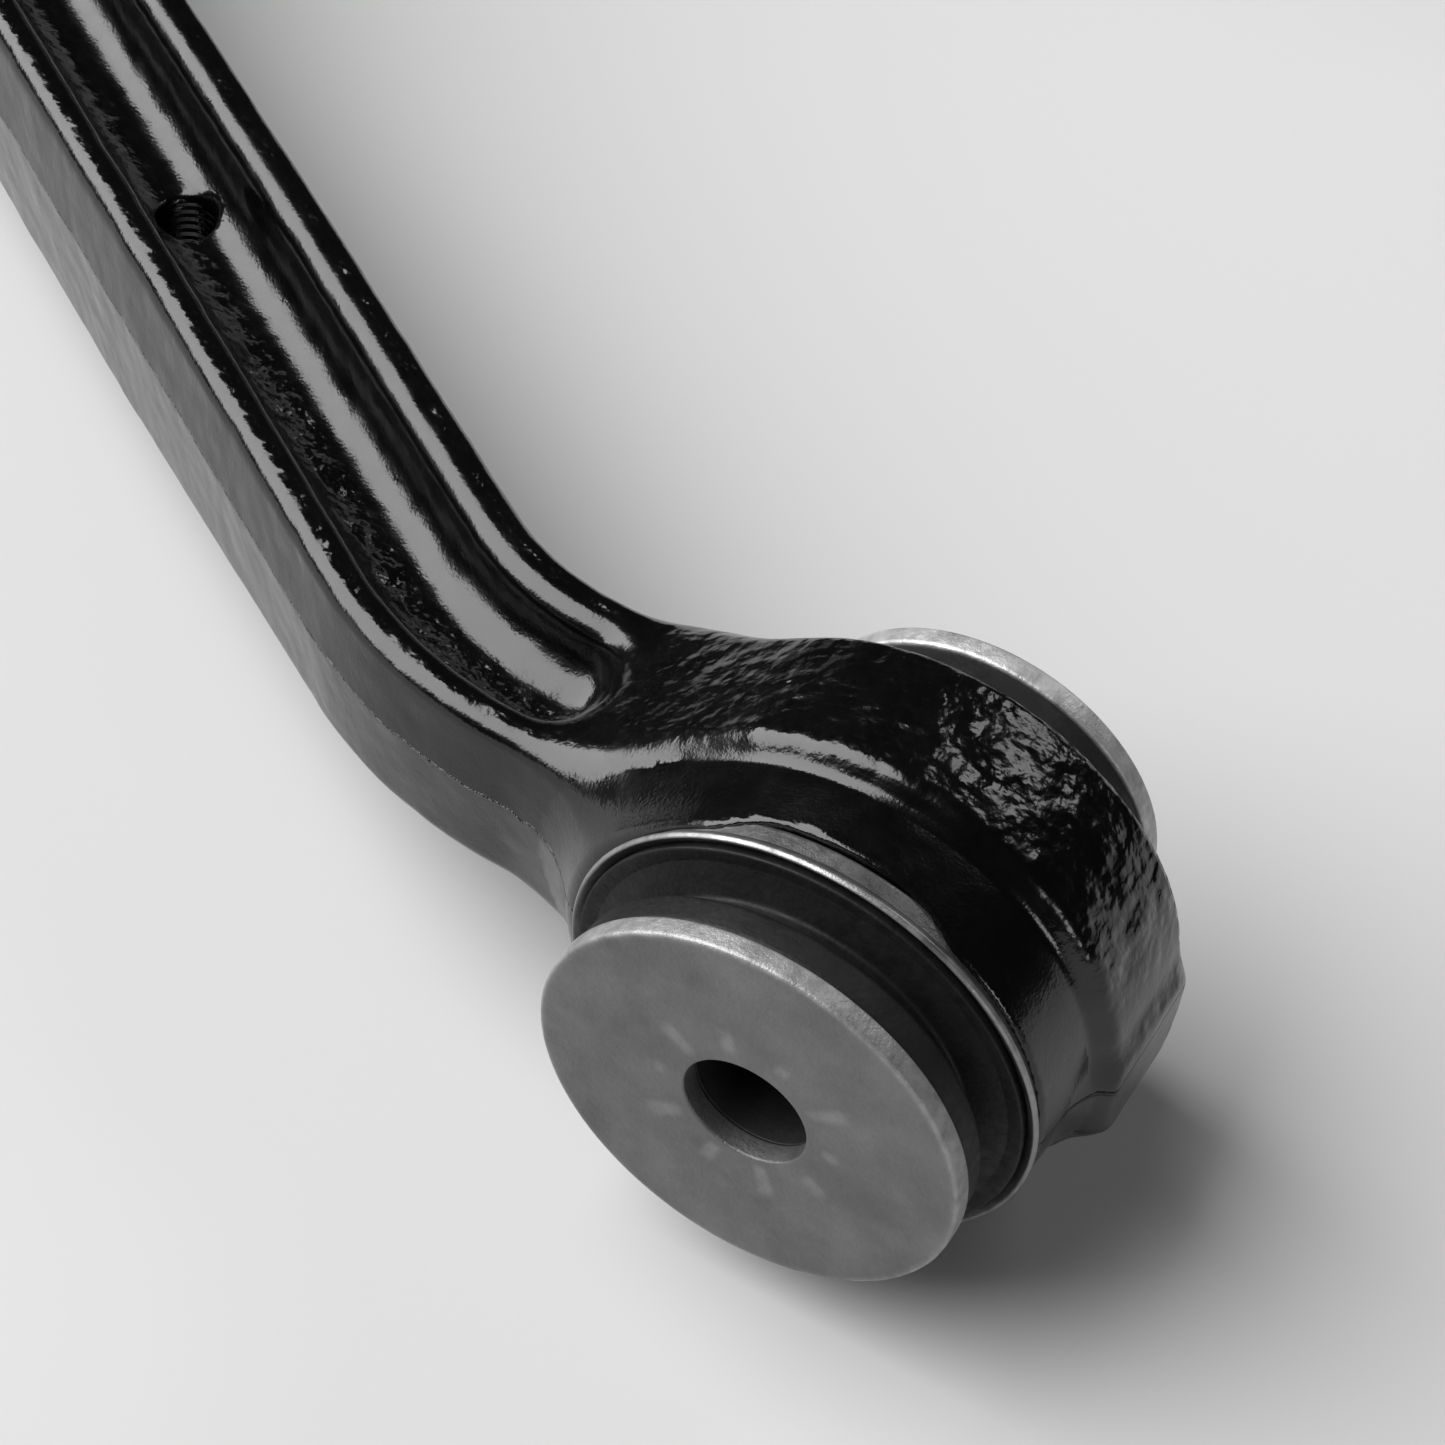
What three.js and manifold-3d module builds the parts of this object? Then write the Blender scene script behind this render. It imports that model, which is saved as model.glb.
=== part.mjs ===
// A forged A-shaped suspension control arm: one I-section forging with two pivot bushes and a
// press-in ball joint. Millimetres, +Z up. X runs along the pivot axis, Y from the pivot axis to the
// ball joint, and the ball stud points up.
import * as THREE from "three";
import * as BufferGeometryUtils from "three/addons/utils/BufferGeometryUtils.js";
import Module from "manifold-3d";

const wasm = await Module();
wasm.setup();

const GAP = 0.3; // clearance left between pieces that touch
const ROUND = 40; // facets round the large turned pieces
const ROUND_SMALL = 28; // facets round the small and inner ones

// Driving dimensions of the arm, from the pivot axis and the arm's middle plane
const BUSH_SPACING = 300; // between the two bush centres, along X
const BALL_Y = 245; // from the pivot axis to the ball centre
const REST_Z = -31; // what the arm stands on: both eyes and the ball joint's lower rim

// Pivot eye; x is measured inboard from the bush centre
const EYE_RADIUS = -REST_Z;
const EYE_INNER_X = 14.4;
const EYE_OUTER_X = -13.4; // face that the sleeve flange seats on
const EYE_NOSE_RADIUS = 28.2; // radius at that face
const EYE_SHOULDER_X = -4.5; // where the nose reaches the full eye radius
const EYE_EDGE = 1.5;
const TRIM_Y = -32; // flat that is left on the eye's far side where the flash was trimmed
const TRIM_OUTER_X = -9;
const TRIM_INNER_X = 13;
const TRIM_HEIGHT = 8;

// Leg section
const LEG_TOP_Z = 12;
const LEG_ROOT_BOTTOM_Z = -14; // underside beside the eye
const LEG_DEEP_BOTTOM_Z = -19; // underside further out
const DEEPEN_START_Y = 55;
const DEEPEN_END_Y = 130;
const LEG_HALF_WIDTH = 12.7;
const LEG_EDGE = 1.6; // rounding along the leg's edges
const WEB_TOP_Z = 2.6;
const WEB_BOTTOM_Z = -4.5;
const POCKET_HALF_WIDTH = 6.8;
const POCKET_START = 43; // centre of the pocket's round end, along the leg from the pivot axis
const POCKET_END_GAP = 46; // from the pocket's other end to the ball centre
const TAPPED_HOLE_RADIUS = 4;
const TAPPED_HOLE_STATION = 133; // along the leg from the pivot axis
const PAD_RADIUS = 8; // solid pad under the web that gives the tapped hole its length
const PAD_BOTTOM_Z = -14;

// Leg centreline: straight out of the eye, a bend, straight, then a long curve to the ball centre
const LEG_OFFSET_X = 6.3; // inboard of the bush centre
const LEG_START = 16;
const ROOT_STRAIGHT = 42.7;
const BEND_RADIUS = 45;
const BEND_ANGLE = THREE.MathUtils.degToRad(31.8);
const MID_STRAIGHT = 122;

// Boss that the ball joint is pressed into
const BOSS_RADIUS = 29;
const BOSS_TOP_Z = 13;
const BOSS_BOTTOM_Z = LEG_DEEP_BOTTOM_Z;
const BOSS_BORE_RADIUS = 21.8;

// Bush, measured along its axis from the outboard plate's face
const BUSH_LENGTH = 54;
const BOLT_HOLE_RADIUS = 7.3;
const OUTER_PLATE_RADIUS = 25;
const INNER_PLATE_RADIUS = 21.9;
const PLATE_THICKNESS = 2.7;
const PLATE_EDGE = 0.5;
const INNER_SLEEVE_RADIUS = 11.5;
const RUBBER_RADIUS = 24.4; // outboard collar of the rubber
const RUBBER_WAIST_RADIUS = 21.4;
const SLEEVE_RADIUS = 25.4; // pressed into the eye
const SLEEVE_BORE = 23.9;
const FLANGE_RADIUS = 28.2;
const FLANGE_FACE = 12.2;
const FLANGE_BACK = 13.3;
const SLEEVE_END = 42.6;

// Ball joint, heights from the ball centre
const BALL_RADIUS = 14;
const BALL_SWING = THREE.MathUtils.degToRad(22);
const NECK_RADIUS = 8;
const HOUSING_RADIUS = BOSS_BORE_RADIUS - GAP;
const BEARING_INNER = BALL_RADIUS + GAP;
const BEARING_OUTER = BEARING_INNER + 2;
const CAVITY_RADIUS = BEARING_OUTER + GAP;
const HOUSING_TOP = 21.6;
const HOUSING_SKIRT_RADIUS = 25;
const SEAT_BOTTOM = -23;
const COVER_TOP = -26.4;
const COVER_BOTTOM = -28.2;
const COVER_RADIUS = 18;
const RING_BOTTOM = BOSS_TOP_Z + GAP;
const RING_TOP = RING_BOTTOM + 1.8;
const RING_GROOVE_RADIUS = 20.1;
const RING_OUTER_RADIUS = 25;
const BOOT_SEAT_RADIUS = 19.4;
const BOOT_SEAT_Z = 16.6;
const BOOT_LIP_Z = 20.2;
const BOOT_TOP = 32.4;
const TAPER_START = 34;
const TAPER_END = 51;
const TAPER_START_RADIUS = 8.8;
const TAPER_END_RADIUS = 7.3;
const THREAD_RADIUS = 6;
const STUD_TOP = 73;
const NUT_BOTTOM = 55.6;
const NUT_HEX_TOP = 64;
const NUT_TOP = 69;
const NUT_HEX_RADIUS = 11; // to a corner
const NUT_CROWN_RADIUS = 8.4;
const NUT_SLOT_WIDTH = 3.8;
const COTTER_Z = 66.4;
const COTTER_RADIUS = 1.5;

const blackPaint = { color: 0x0b0b0b, roughness: 0.28, metalness: 0.0 };
const plateSteel = { color: 0x6e6e6e, roughness: 0.55, metalness: 0.85 };
const sleeveSteel = { color: 0x7c7c7c, roughness: 0.45, metalness: 0.9 };
const blackRubber = { color: 0x262626, roughness: 0.75, metalness: 0.0 };
const forgedSteel = { color: 0x4a4a48, roughness: 0.5, metalness: 0.8 };
const zincSteel = { color: 0xa8a79c, roughness: 0.35, metalness: 0.95 };
const springSteel = { color: 0x3a3d42, roughness: 0.4, metalness: 0.9 };
const polymer = { color: 0xd9d3c0, roughness: 0.5, metalness: 0.0 };

// Turns a closed geometry into a solid that can be joined and cut
function solid(geometry) {
  geometry.deleteAttribute("normal");
  geometry.deleteAttribute("uv");
  const merged = BufferGeometryUtils.mergeVertices(geometry, 1e-4);
  const vertProperties = new Float32Array(merged.attributes.position.array);
  const triVerts = new Uint32Array(merged.index.array);
  return new wasm.Manifold(new wasm.Mesh({ numProp: 3, vertProperties, triVerts }));
}

function geometryOf(manifold) {
  const { vertProperties, triVerts } = manifold.getMesh();
  const geometry = new THREE.BufferGeometry();
  geometry.setAttribute("position", new THREE.BufferAttribute(vertProperties, 3));
  geometry.setIndex(new THREE.BufferAttribute(triVerts, 1));
  return geometry;
}

function part(name, geometry, look) {
  const mesh = new THREE.Mesh(geometry, new THREE.MeshStandardMaterial(look));
  mesh.name = name;
  return mesh;
}

// Turns an outline of [radius, height] points about Z. It runs upwards on the outside, and it closes
// on itself or starts and ends on the axis.
function turned(outline, facets = ROUND) {
  const points = outline.map(([radius, height]) => new THREE.Vector2(radius, height));
  if (outline[0][0] > 0) points.push(points[0].clone());
  return new THREE.LatheGeometry(points, facets).rotateX(Math.PI / 2);
}

// A ring of rectangular section
function ring(inner, outer, bottom, top, facets = ROUND) {
  return turned([[inner, bottom], [outer, bottom], [outer, top], [inner, top]], facets);
}

// A plain round bar
function bar(radius, bottom, top, facets = ROUND) {
  return turned([[0, bottom], [radius, bottom], [radius, top], [0, top]], facets);
}

// Points round an arc of the outline plane; angles in degrees from the radial direction
function arc(centreRadius, centreHeight, radius, from, to, steps) {
  const points = [];
  for (let i = 0; i <= steps; i++) {
    const angle = THREE.MathUtils.degToRad(from + ((to - from) * i) / steps);
    points.push([centreRadius + radius * Math.cos(angle), centreHeight + radius * Math.sin(angle)]);
  }
  return points;
}

const BEND_END = ROOT_STRAIGHT + BEND_RADIUS * BEND_ANGLE;
const MID_END = BEND_END + MID_STRAIGHT;

// Point and heading of a leg's centreline, by distance from the pivot axis. X is inboard of the bush.
function legCentre(station) {
  if (station <= ROOT_STRAIGHT) {
    return { x: LEG_OFFSET_X, y: station, heading: 0 };
  }
  if (station <= BEND_END) {
    const heading = (station - ROOT_STRAIGHT) / BEND_RADIUS;
    const x = LEG_OFFSET_X + BEND_RADIUS * (1 - Math.cos(heading));
    return { x, y: ROOT_STRAIGHT + BEND_RADIUS * Math.sin(heading), heading };
  }
  const straightPart = Math.min(station, MID_END) - BEND_END;
  const bendEnd = legCentre(BEND_END);
  const x = bendEnd.x + straightPart * Math.sin(BEND_ANGLE);
  const y = bendEnd.y + straightPart * Math.cos(BEND_ANGLE);
  if (station <= MID_END) {
    return { x, y, heading: BEND_ANGLE };
  }
  const { radius } = apexCurve({ x, y });
  const heading = BEND_ANGLE + (station - MID_END) / radius;
  return {
    x: x + radius * (Math.cos(BEND_ANGLE) - Math.cos(heading)),
    y: y + radius * (Math.sin(heading) - Math.sin(BEND_ANGLE)),
    heading,
  };
}

// The arc that carries the centreline from the end of its straight part to the ball centre
function apexCurve(start) {
  const dx = BUSH_SPACING / 2 - start.x;
  const dy = BALL_Y - start.y;
  const halfTurn = Math.atan2(dx, dy) - BEND_ANGLE;
  const radius = Math.hypot(dx, dy) / (2 * Math.sin(halfTurn));
  return { radius, length: 2 * halfTurn * radius };
}

const LEG_LENGTH = MID_END + apexCurve(legCentre(MID_END)).length;

// Stations between two ends: a few on the straights, more on the curves
function legStations(from, to) {
  const spans = [
    [LEG_START, ROOT_STRAIGHT, 2],
    [ROOT_STRAIGHT, BEND_END, 6],
    [BEND_END, MID_END, 6],
    [MID_END, LEG_LENGTH, 8],
  ];
  const stations = [from];
  for (const [start, end, steps] of spans) {
    for (let i = 0; i < steps; i++) {
      const station = start + ((end - start) * i) / steps;
      if (station > from + 1 && station < to - 1) stations.push(station);
    }
  }
  stations.push(to);
  return stations;
}

// Plan outline that follows a leg between two stations. side is +1 for the leg at -X, -1 for the other.
function legShape(from, to, halfWidth, roundEnds, side) {
  const place = (station, across, along) => {
    const { x, y, heading } = legCentre(station);
    const px = x + across * Math.cos(heading) + along * Math.sin(heading);
    const py = y - across * Math.sin(heading) + along * Math.cos(heading);
    return new THREE.Vector2(side * (px - BUSH_SPACING / 2), py);
  };
  const endCap = (station, direction) => {
    const steps = 8;
    const points = [];
    for (let i = 1; roundEnds && i < steps; i++) {
      const angle = (Math.PI * i) / steps;
      const across = direction * Math.cos(angle) * halfWidth;
      points.push(place(station, across, direction * Math.sin(angle) * halfWidth));
    }
    return points;
  };
  const stations = legStations(from, to);
  const inboard = stations.map((station) => place(station, halfWidth, 0));
  const outboard = stations.map((station) => place(station, -halfWidth, 0)).reverse();
  return new THREE.Shape([...inboard, ...endCap(to, 1), ...outboard, ...endCap(from, -1)]);
}

function extruded(shape, bottom, top, edge = 0) {
  const geometry = new THREE.ExtrudeGeometry(shape, {
    depth: top - bottom - 2 * edge,
    bevelEnabled: edge > 0,
    bevelThickness: edge,
    bevelSize: edge,
    bevelOffset: -edge,
    bevelSegments: 2,
    curveSegments: 8,
  });
  return geometry.translate(0, 0, bottom + edge);
}

// Lowers the underside of a leg as it leaves the eye
function deepen(geometry) {
  const position = geometry.attributes.position;
  for (let i = 0; i < position.count; i++) {
    if (position.getZ(i) > 0) continue;
    const share = THREE.MathUtils.smoothstep(position.getY(i), DEEPEN_START_Y, DEEPEN_END_Y);
    const bottom = THREE.MathUtils.lerp(LEG_ROOT_BOTTOM_Z, LEG_DEEP_BOTTOM_Z, share);
    position.setZ(i, (position.getZ(i) * bottom) / LEG_ROOT_BOTTOM_Z);
  }
  return geometry;
}

// Lays a geometry turned about Z along a bush's axis: its height becomes the inboard distance
function alongPivot(geometry, side) {
  return geometry.rotateY((side * Math.PI) / 2).translate((-side * BUSH_SPACING) / 2, 0, 0);
}

function leg(side) {
  const body = legShape(LEG_START, LEG_LENGTH, LEG_HALF_WIDTH, false, side);
  const pocket = legShape(POCKET_START, LEG_LENGTH - POCKET_END_GAP, POCKET_HALF_WIDTH, true, side);
  const blank = solid(deepen(extruded(body, LEG_ROOT_BOTTOM_Z, LEG_TOP_Z, LEG_EDGE)));
  const above = solid(extruded(pocket, WEB_TOP_Z, LEG_TOP_Z + 5));
  const below = solid(extruded(pocket, LEG_DEEP_BOTTOM_Z - 5, WEB_BOTTOM_Z));
  return blank.subtract(above).subtract(below);
}

function eye(side) {
  const outline = [
    [0, EYE_OUTER_X],
    [EYE_NOSE_RADIUS, EYE_OUTER_X],
    [EYE_RADIUS - 0.4, EYE_SHOULDER_X],
    [EYE_RADIUS, EYE_SHOULDER_X + EYE_EDGE],
    [EYE_RADIUS, EYE_INNER_X - EYE_EDGE],
    [EYE_RADIUS - EYE_EDGE, EYE_INNER_X],
    [0, EYE_INNER_X],
  ];
  return solid(alongPivot(turned(outline), side));
}

// The flat land under the parting line on the eye's far side
function trimLand(side) {
  const width = TRIM_INNER_X - TRIM_OUTER_X;
  const land = new THREE.BoxGeometry(width, EYE_RADIUS, TRIM_HEIGHT);
  const x = (TRIM_INNER_X + TRIM_OUTER_X - BUSH_SPACING) / 2;
  return solid(land.translate(side * x, TRIM_Y + EYE_RADIUS / 2, -TRIM_HEIGHT / 2));
}

// Gusset where a leg swells into its eye; x is inboard of the bush centre
function eyeRoot(side) {
  const outline = [
    [-6.4, 46], [-8, 36], [-10.5, 28], [-11, 12], [13, 12], [14.2, 22], [16, 30], [19, 42],
  ];
  const place = ([x, y]) => new THREE.Vector2(side * (x - BUSH_SPACING / 2), y);
  const shape = new THREE.Shape(outline.map(place));
  return solid(extruded(shape, LEG_ROOT_BOTTOM_Z + 1, LEG_TOP_Z - 1));
}

// A round bar on the tapped hole's axis
function atTappedHole(radius, bottom, top, side) {
  const { x, y } = legCentre(TAPPED_HOLE_STATION);
  return solid(bar(radius, bottom, top, ROUND_SMALL).translate(side * (x - BUSH_SPACING / 2), y, 0));
}

function armForging() {
  let forging = solid(bar(BOSS_RADIUS, BOSS_BOTTOM_Z, BOSS_TOP_Z).translate(0, BALL_Y, 0));
  for (const side of [1, -1]) {
    forging = forging.add(leg(side)).add(eye(side)).add(eyeRoot(side)).add(trimLand(side));
    forging = forging.add(atTappedHole(PAD_RADIUS, PAD_BOTTOM_Z, WEB_BOTTOM_Z + 1, side));
  }
  for (const side of [1, -1]) {
    forging = forging.subtract(solid(alongPivot(bar(SLEEVE_RADIUS + GAP, -50, 50), side)));
    forging = forging.subtract(atTappedHole(TAPPED_HOLE_RADIUS, -40, 40, side));
  }
  const bore = bar(BOSS_BORE_RADIUS, -50, 50).translate(0, BALL_Y, 0);
  return geometryOf(forging.subtract(solid(bore)));
}

function endPlate(radius, bottom) {
  const top = bottom + PLATE_THICKNESS;
  return turned([
    [BOLT_HOLE_RADIUS, bottom],
    [radius - PLATE_EDGE, bottom],
    [radius, bottom + PLATE_EDGE],
    [radius, top - PLATE_EDGE],
    [radius - PLATE_EDGE, top],
    [BOLT_HOLE_RADIUS, top],
  ]);
}

// Thin pressed tube with a rolled flange at its outboard end
function outerSleeve() {
  return turned([
    [SLEEVE_BORE, FLANGE_FACE],
    [FLANGE_RADIUS, FLANGE_FACE],
    [FLANGE_RADIUS, FLANGE_BACK],
    [SLEEVE_RADIUS, FLANGE_BACK],
    [SLEEVE_RADIUS, SLEEVE_END],
    [SLEEVE_BORE, SLEEVE_END],
  ]);
}

// Rubber between the sleeves: an outboard collar, a groove, a lip over the flange and the main body
function bushRubber() {
  const start = PLATE_THICKNESS + GAP;
  const end = BUSH_LENGTH - PLATE_THICKNESS - GAP;
  const bore = INNER_SLEEVE_RADIUS + GAP;
  const body = SLEEVE_BORE - GAP;
  const lip = FLANGE_RADIUS - 1.4;
  const tail = INNER_PLATE_RADIUS - 0.6;
  return turned([
    [bore, start],
    [RUBBER_RADIUS, start],
    [RUBBER_RADIUS, start + 5],
    [RUBBER_WAIST_RADIUS, start + 6.4],
    [RUBBER_WAIST_RADIUS, FLANGE_FACE - 1.4],
    [lip, FLANGE_FACE - 1],
    [lip, FLANGE_FACE - GAP],
    [body, FLANGE_FACE - GAP],
    [body, SLEEVE_END - 1.6],
    [tail, SLEEVE_END + 0.8],
    [tail, end],
    [bore, end],
  ]);
}

// One bush, turned about Z with the outboard plate's face at height zero
function bush(name) {
  const group = new THREE.Group();
  const sleeveStart = PLATE_THICKNESS + GAP;
  const innerSleeve = ring(BOLT_HOLE_RADIUS, INNER_SLEEVE_RADIUS, sleeveStart, BUSH_LENGTH - sleeveStart);
  group.add(part(`${name}_outer_sleeve`, outerSleeve(), sleeveSteel));
  group.add(part(`${name}_rubber`, bushRubber(), blackRubber));
  group.add(part(`${name}_inner_sleeve`, innerSleeve, zincSteel));
  group.add(part(`${name}_outboard_plate`, endPlate(OUTER_PLATE_RADIUS, 0), plateSteel));
  const farPlate = endPlate(INNER_PLATE_RADIUS, BUSH_LENGTH - PLATE_THICKNESS);
  group.add(part(`${name}_inboard_plate`, farPlate, plateSteel));
  return group;
}

function placedBush(name, side) {
  const group = bush(name);
  group.rotation.y = (side * Math.PI) / 2;
  group.position.x = (-side * (BUSH_SPACING + BUSH_LENGTH)) / 2;
  return group;
}

// Radius that the swinging stud's neck sweeps at a height above the ball centre
function sweptRadius(height) {
  return height * Math.tan(BALL_SWING) + NECK_RADIUS / Math.cos(BALL_SWING);
}

// Turned body pressed into the arm from below: a round cavity, a throat cone and a rolled lower rim
function housing() {
  const throatAngle = 37;
  const throatTop = sweptRadius(HOUSING_TOP) + 2 * GAP;
  return turned([
    [COVER_RADIUS - 1.4, REST_Z],
    [HOUSING_SKIRT_RADIUS - 2, REST_Z],
    [HOUSING_SKIRT_RADIUS, REST_Z + 3],
    [HOUSING_SKIRT_RADIUS, BOSS_BOTTOM_Z - GAP],
    [HOUSING_RADIUS, BOSS_BOTTOM_Z - GAP],
    [HOUSING_RADIUS, RING_BOTTOM],
    [RING_GROOVE_RADIUS, RING_BOTTOM],
    [RING_GROOVE_RADIUS, RING_TOP + GAP],
    [BOOT_SEAT_RADIUS + 1, RING_TOP + GAP],
    [BOOT_SEAT_RADIUS + 1, BOOT_SEAT_Z],
    [BOOT_SEAT_RADIUS, BOOT_SEAT_Z],
    [BOOT_SEAT_RADIUS, BOOT_LIP_Z],
    [BOOT_SEAT_RADIUS + 0.8, BOOT_LIP_Z + 0.4],
    [BOOT_SEAT_RADIUS + 0.8, HOUSING_TOP],
    [throatTop, HOUSING_TOP],
    ...arc(0, 0, CAVITY_RADIUS, throatAngle, 0, 4),
    [CAVITY_RADIUS, COVER_TOP + GAP],
    [COVER_RADIUS + GAP, COVER_TOP + GAP],
    [COVER_RADIUS + GAP, COVER_BOTTOM - GAP],
    [COVER_RADIUS - 1.4, COVER_BOTTOM - GAP],
  ]);
}

// Plastic shell round the ball, open at both ends
function bearing() {
  const rim = 7.4;
  const outerRim = THREE.MathUtils.radToDeg(Math.asin(rim / BEARING_OUTER));
  const innerRim = THREE.MathUtils.radToDeg(Math.asin(rim / BEARING_INNER));
  const lowest = -64;
  const outer = arc(0, 0, BEARING_OUTER, lowest, outerRim, 7);
  const inner = arc(0, 0, BEARING_INNER, innerRim, lowest, 7);
  return turned([...outer, ...inner], ROUND_SMALL);
}

// Cup under the bearing that carries the spring's load
function pressureSeat() {
  const greaseHole = 4;
  const lowest = -THREE.MathUtils.radToDeg(Math.acos(greaseHole / CAVITY_RADIUS));
  const rim = -14;
  return turned(
    [
      [greaseHole, SEAT_BOTTOM],
      [BEARING_OUTER, SEAT_BOTTOM],
      [BEARING_OUTER, CAVITY_RADIUS * Math.sin(THREE.MathUtils.degToRad(rim))],
      ...arc(0, 0, CAVITY_RADIUS, rim, lowest, 5),
    ],
    ROUND_SMALL,
  );
}

// Conical spring washer between the seat and the cover
function preloadWasher() {
  const thickness = 1;
  const outer = 15.2;
  const inner = 7;
  const rise = 1.7;
  const base = COVER_TOP + GAP;
  const top = base + thickness;
  return turned([[outer, base], [outer, top], [inner, top + rise], [inner, base + rise]], ROUND_SMALL);
}

function retainingRing() {
  const whole = ring(RING_GROOVE_RADIUS + GAP, RING_OUTER_RADIUS, RING_BOTTOM + 0.1, RING_TOP);
  const mouth = new THREE.BoxGeometry(9, 20, 10).translate(0, RING_OUTER_RADIUS, RING_BOTTOM);
  return geometryOf(solid(whole).subtract(solid(mouth)));
}

function ballStud() {
  const neckAngle = THREE.MathUtils.radToDeg(Math.acos(NECK_RADIUS / BALL_RADIUS));
  const ball = arc(0, 0, BALL_RADIUS, -90, neckAngle, 10).slice(1);
  const outline = [
    [0, -BALL_RADIUS],
    ...ball,
    [NECK_RADIUS, TAPER_START - 1],
    [TAPER_START_RADIUS, TAPER_START],
    [TAPER_END_RADIUS, TAPER_END],
    [THREAD_RADIUS, TAPER_END + 1],
    [THREAD_RADIUS, STUD_TOP - 1],
    [THREAD_RADIUS - 1, STUD_TOP],
    [0, STUD_TOP],
  ];
  const blank = solid(turned(outline, ROUND_SMALL));
  const hole = bar(COTTER_RADIUS + GAP, -20, 20, 12).rotateY(Math.PI / 2).translate(0, 0, COTTER_Z);
  return geometryOf(blank.subtract(solid(hole)));
}

// Hexagon nut with a slotted crown
function castleNut() {
  const edge = 1.1;
  const hexagon = solid(bar(NUT_HEX_RADIUS, NUT_BOTTOM, NUT_HEX_TOP, 6));
  const chamfer = turned(
    [
      [0, NUT_BOTTOM],
      [NUT_HEX_RADIUS - edge, NUT_BOTTOM],
      [NUT_HEX_RADIUS + GAP, NUT_BOTTOM + edge],
      [NUT_HEX_RADIUS + GAP, NUT_HEX_TOP - edge],
      [NUT_HEX_RADIUS - edge, NUT_HEX_TOP],
      [0, NUT_HEX_TOP],
    ],
    ROUND_SMALL,
  );
  const crown = bar(NUT_CROWN_RADIUS, NUT_HEX_TOP - 1, NUT_TOP, ROUND_SMALL);
  let nut = hexagon.intersect(solid(chamfer)).add(solid(crown));
  nut = nut.subtract(solid(bar(THREAD_RADIUS + GAP, NUT_BOTTOM - 10, NUT_TOP + 10, ROUND_SMALL)));
  const slotHeight = 10;
  const slotZ = NUT_HEX_TOP + 0.4 + slotHeight / 2;
  for (const turn of [0, 60, 120]) {
    const slot = new THREE.BoxGeometry(40, NUT_SLOT_WIDTH, slotHeight).translate(0, 0, slotZ);
    nut = nut.subtract(solid(slot.rotateZ(THREE.MathUtils.degToRad(turn))));
  }
  return geometryOf(nut);
}

// Split pin through the stud: an eye at one end, its other end bent up
function cotterPin() {
  const eyeX = 13.4;
  const bendX = -11.2;
  const bendRadius = 2.5;
  const legHeight = 6.5;
  const section = new THREE.Shape().absarc(0, 0, COTTER_RADIUS, 0, 2 * Math.PI, false);
  const at = (x, z) => new THREE.Vector3(x, 0, z);
  const path = new THREE.CurvePath();
  const bendStart = at(bendX + bendRadius, COTTER_Z);
  const bendEnd = at(bendX, COTTER_Z + bendRadius);
  path.add(new THREE.LineCurve3(at(eyeX - 2.6, COTTER_Z), bendStart));
  path.add(new THREE.QuadraticBezierCurve3(bendStart, at(bendX, COTTER_Z), bendEnd));
  path.add(new THREE.LineCurve3(bendEnd, at(bendX, COTTER_Z + legHeight)));
  const shank = new THREE.ExtrudeGeometry(section, { extrudePath: path, steps: 24, curveSegments: 5 });
  const loop = ring(1.1, 3.2, -1.2, 1.2, 16).rotateX(Math.PI / 2).translate(eyeX, 0, COTTER_Z);
  return geometryOf(solid(shank).add(solid(loop)));
}

// Rubber boot with two folds, from its grip on the housing to its grip on the stud's neck
function dustBoot() {
  const seat = BOOT_SEAT_RADIUS + GAP;
  const grip = NECK_RADIUS + GAP;
  return turned([
    [seat, BOOT_SEAT_Z + GAP],
    [seat + 2.2, BOOT_SEAT_Z + GAP],
    [seat + 2.2, BOOT_LIP_Z - 0.4],
    [25.4, 22.4],
    [25.4, 24],
    [20.2, 25.8],
    [20.8, 27.8],
    [18.4, 29.6],
    [11.8, 30.2],
    [11.8, BOOT_TOP],
    [grip, BOOT_TOP],
    [grip, 29],
    [17.4, 28.2],
    [18.6, 27],
    [18.4, 24.8],
    [23.4, 23.4],
    [seat + 1.1, HOUSING_TOP],
    [seat + 1.1, BOOT_LIP_Z],
    [seat, BOOT_LIP_Z - 0.4],
  ]);
}

// Round wire ring about the ball joint's axis
function wireRing(radius, wire, height) {
  return turned(arc(radius, height, wire, 0, 300, 5));
}

function ballJoint() {
  const group = new THREE.Group();
  const cover = bar(COVER_RADIUS, COVER_BOTTOM, COVER_TOP);
  group.add(part("ball_joint_housing", housing(), forgedSteel));
  group.add(part("ball_joint_bearing", bearing(), polymer));
  group.add(part("ball_joint_pressure_seat", pressureSeat(), polymer));
  group.add(part("ball_joint_preload_washer", preloadWasher(), springSteel));
  group.add(part("ball_joint_cover", cover, zincSteel));
  group.add(part("ball_joint_retaining_ring", retainingRing(), springSteel));
  group.add(part("ball_stud", ballStud(), forgedSteel));
  group.add(part("castle_nut", castleNut(), zincSteel));
  group.add(part("cotter_pin", cotterPin(), zincSteel));
  group.add(part("dust_boot", dustBoot(), blackRubber));
  group.add(part("boot_lower_ring", wireRing(BOOT_SEAT_RADIUS + 3.6, 0.7, 18.4), springSteel));
  group.add(part("boot_upper_ring", wireRing(12.9, 0.6, 31.3), springSteel));
  group.position.y = BALL_Y;
  return group;
}

const controlArm = new THREE.Group();
controlArm.add(
  part("arm_forging", armForging(), blackPaint),
  placedBush("front_bush", 1),
  placedBush("rear_bush", -1),
  ballJoint(),
);
// The origin is the bottom centre of the whole part's box
controlArm.position.set(0, -(TRIM_Y + BALL_Y + BOSS_RADIUS) / 2, -REST_Z);

export default controlArm;
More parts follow.
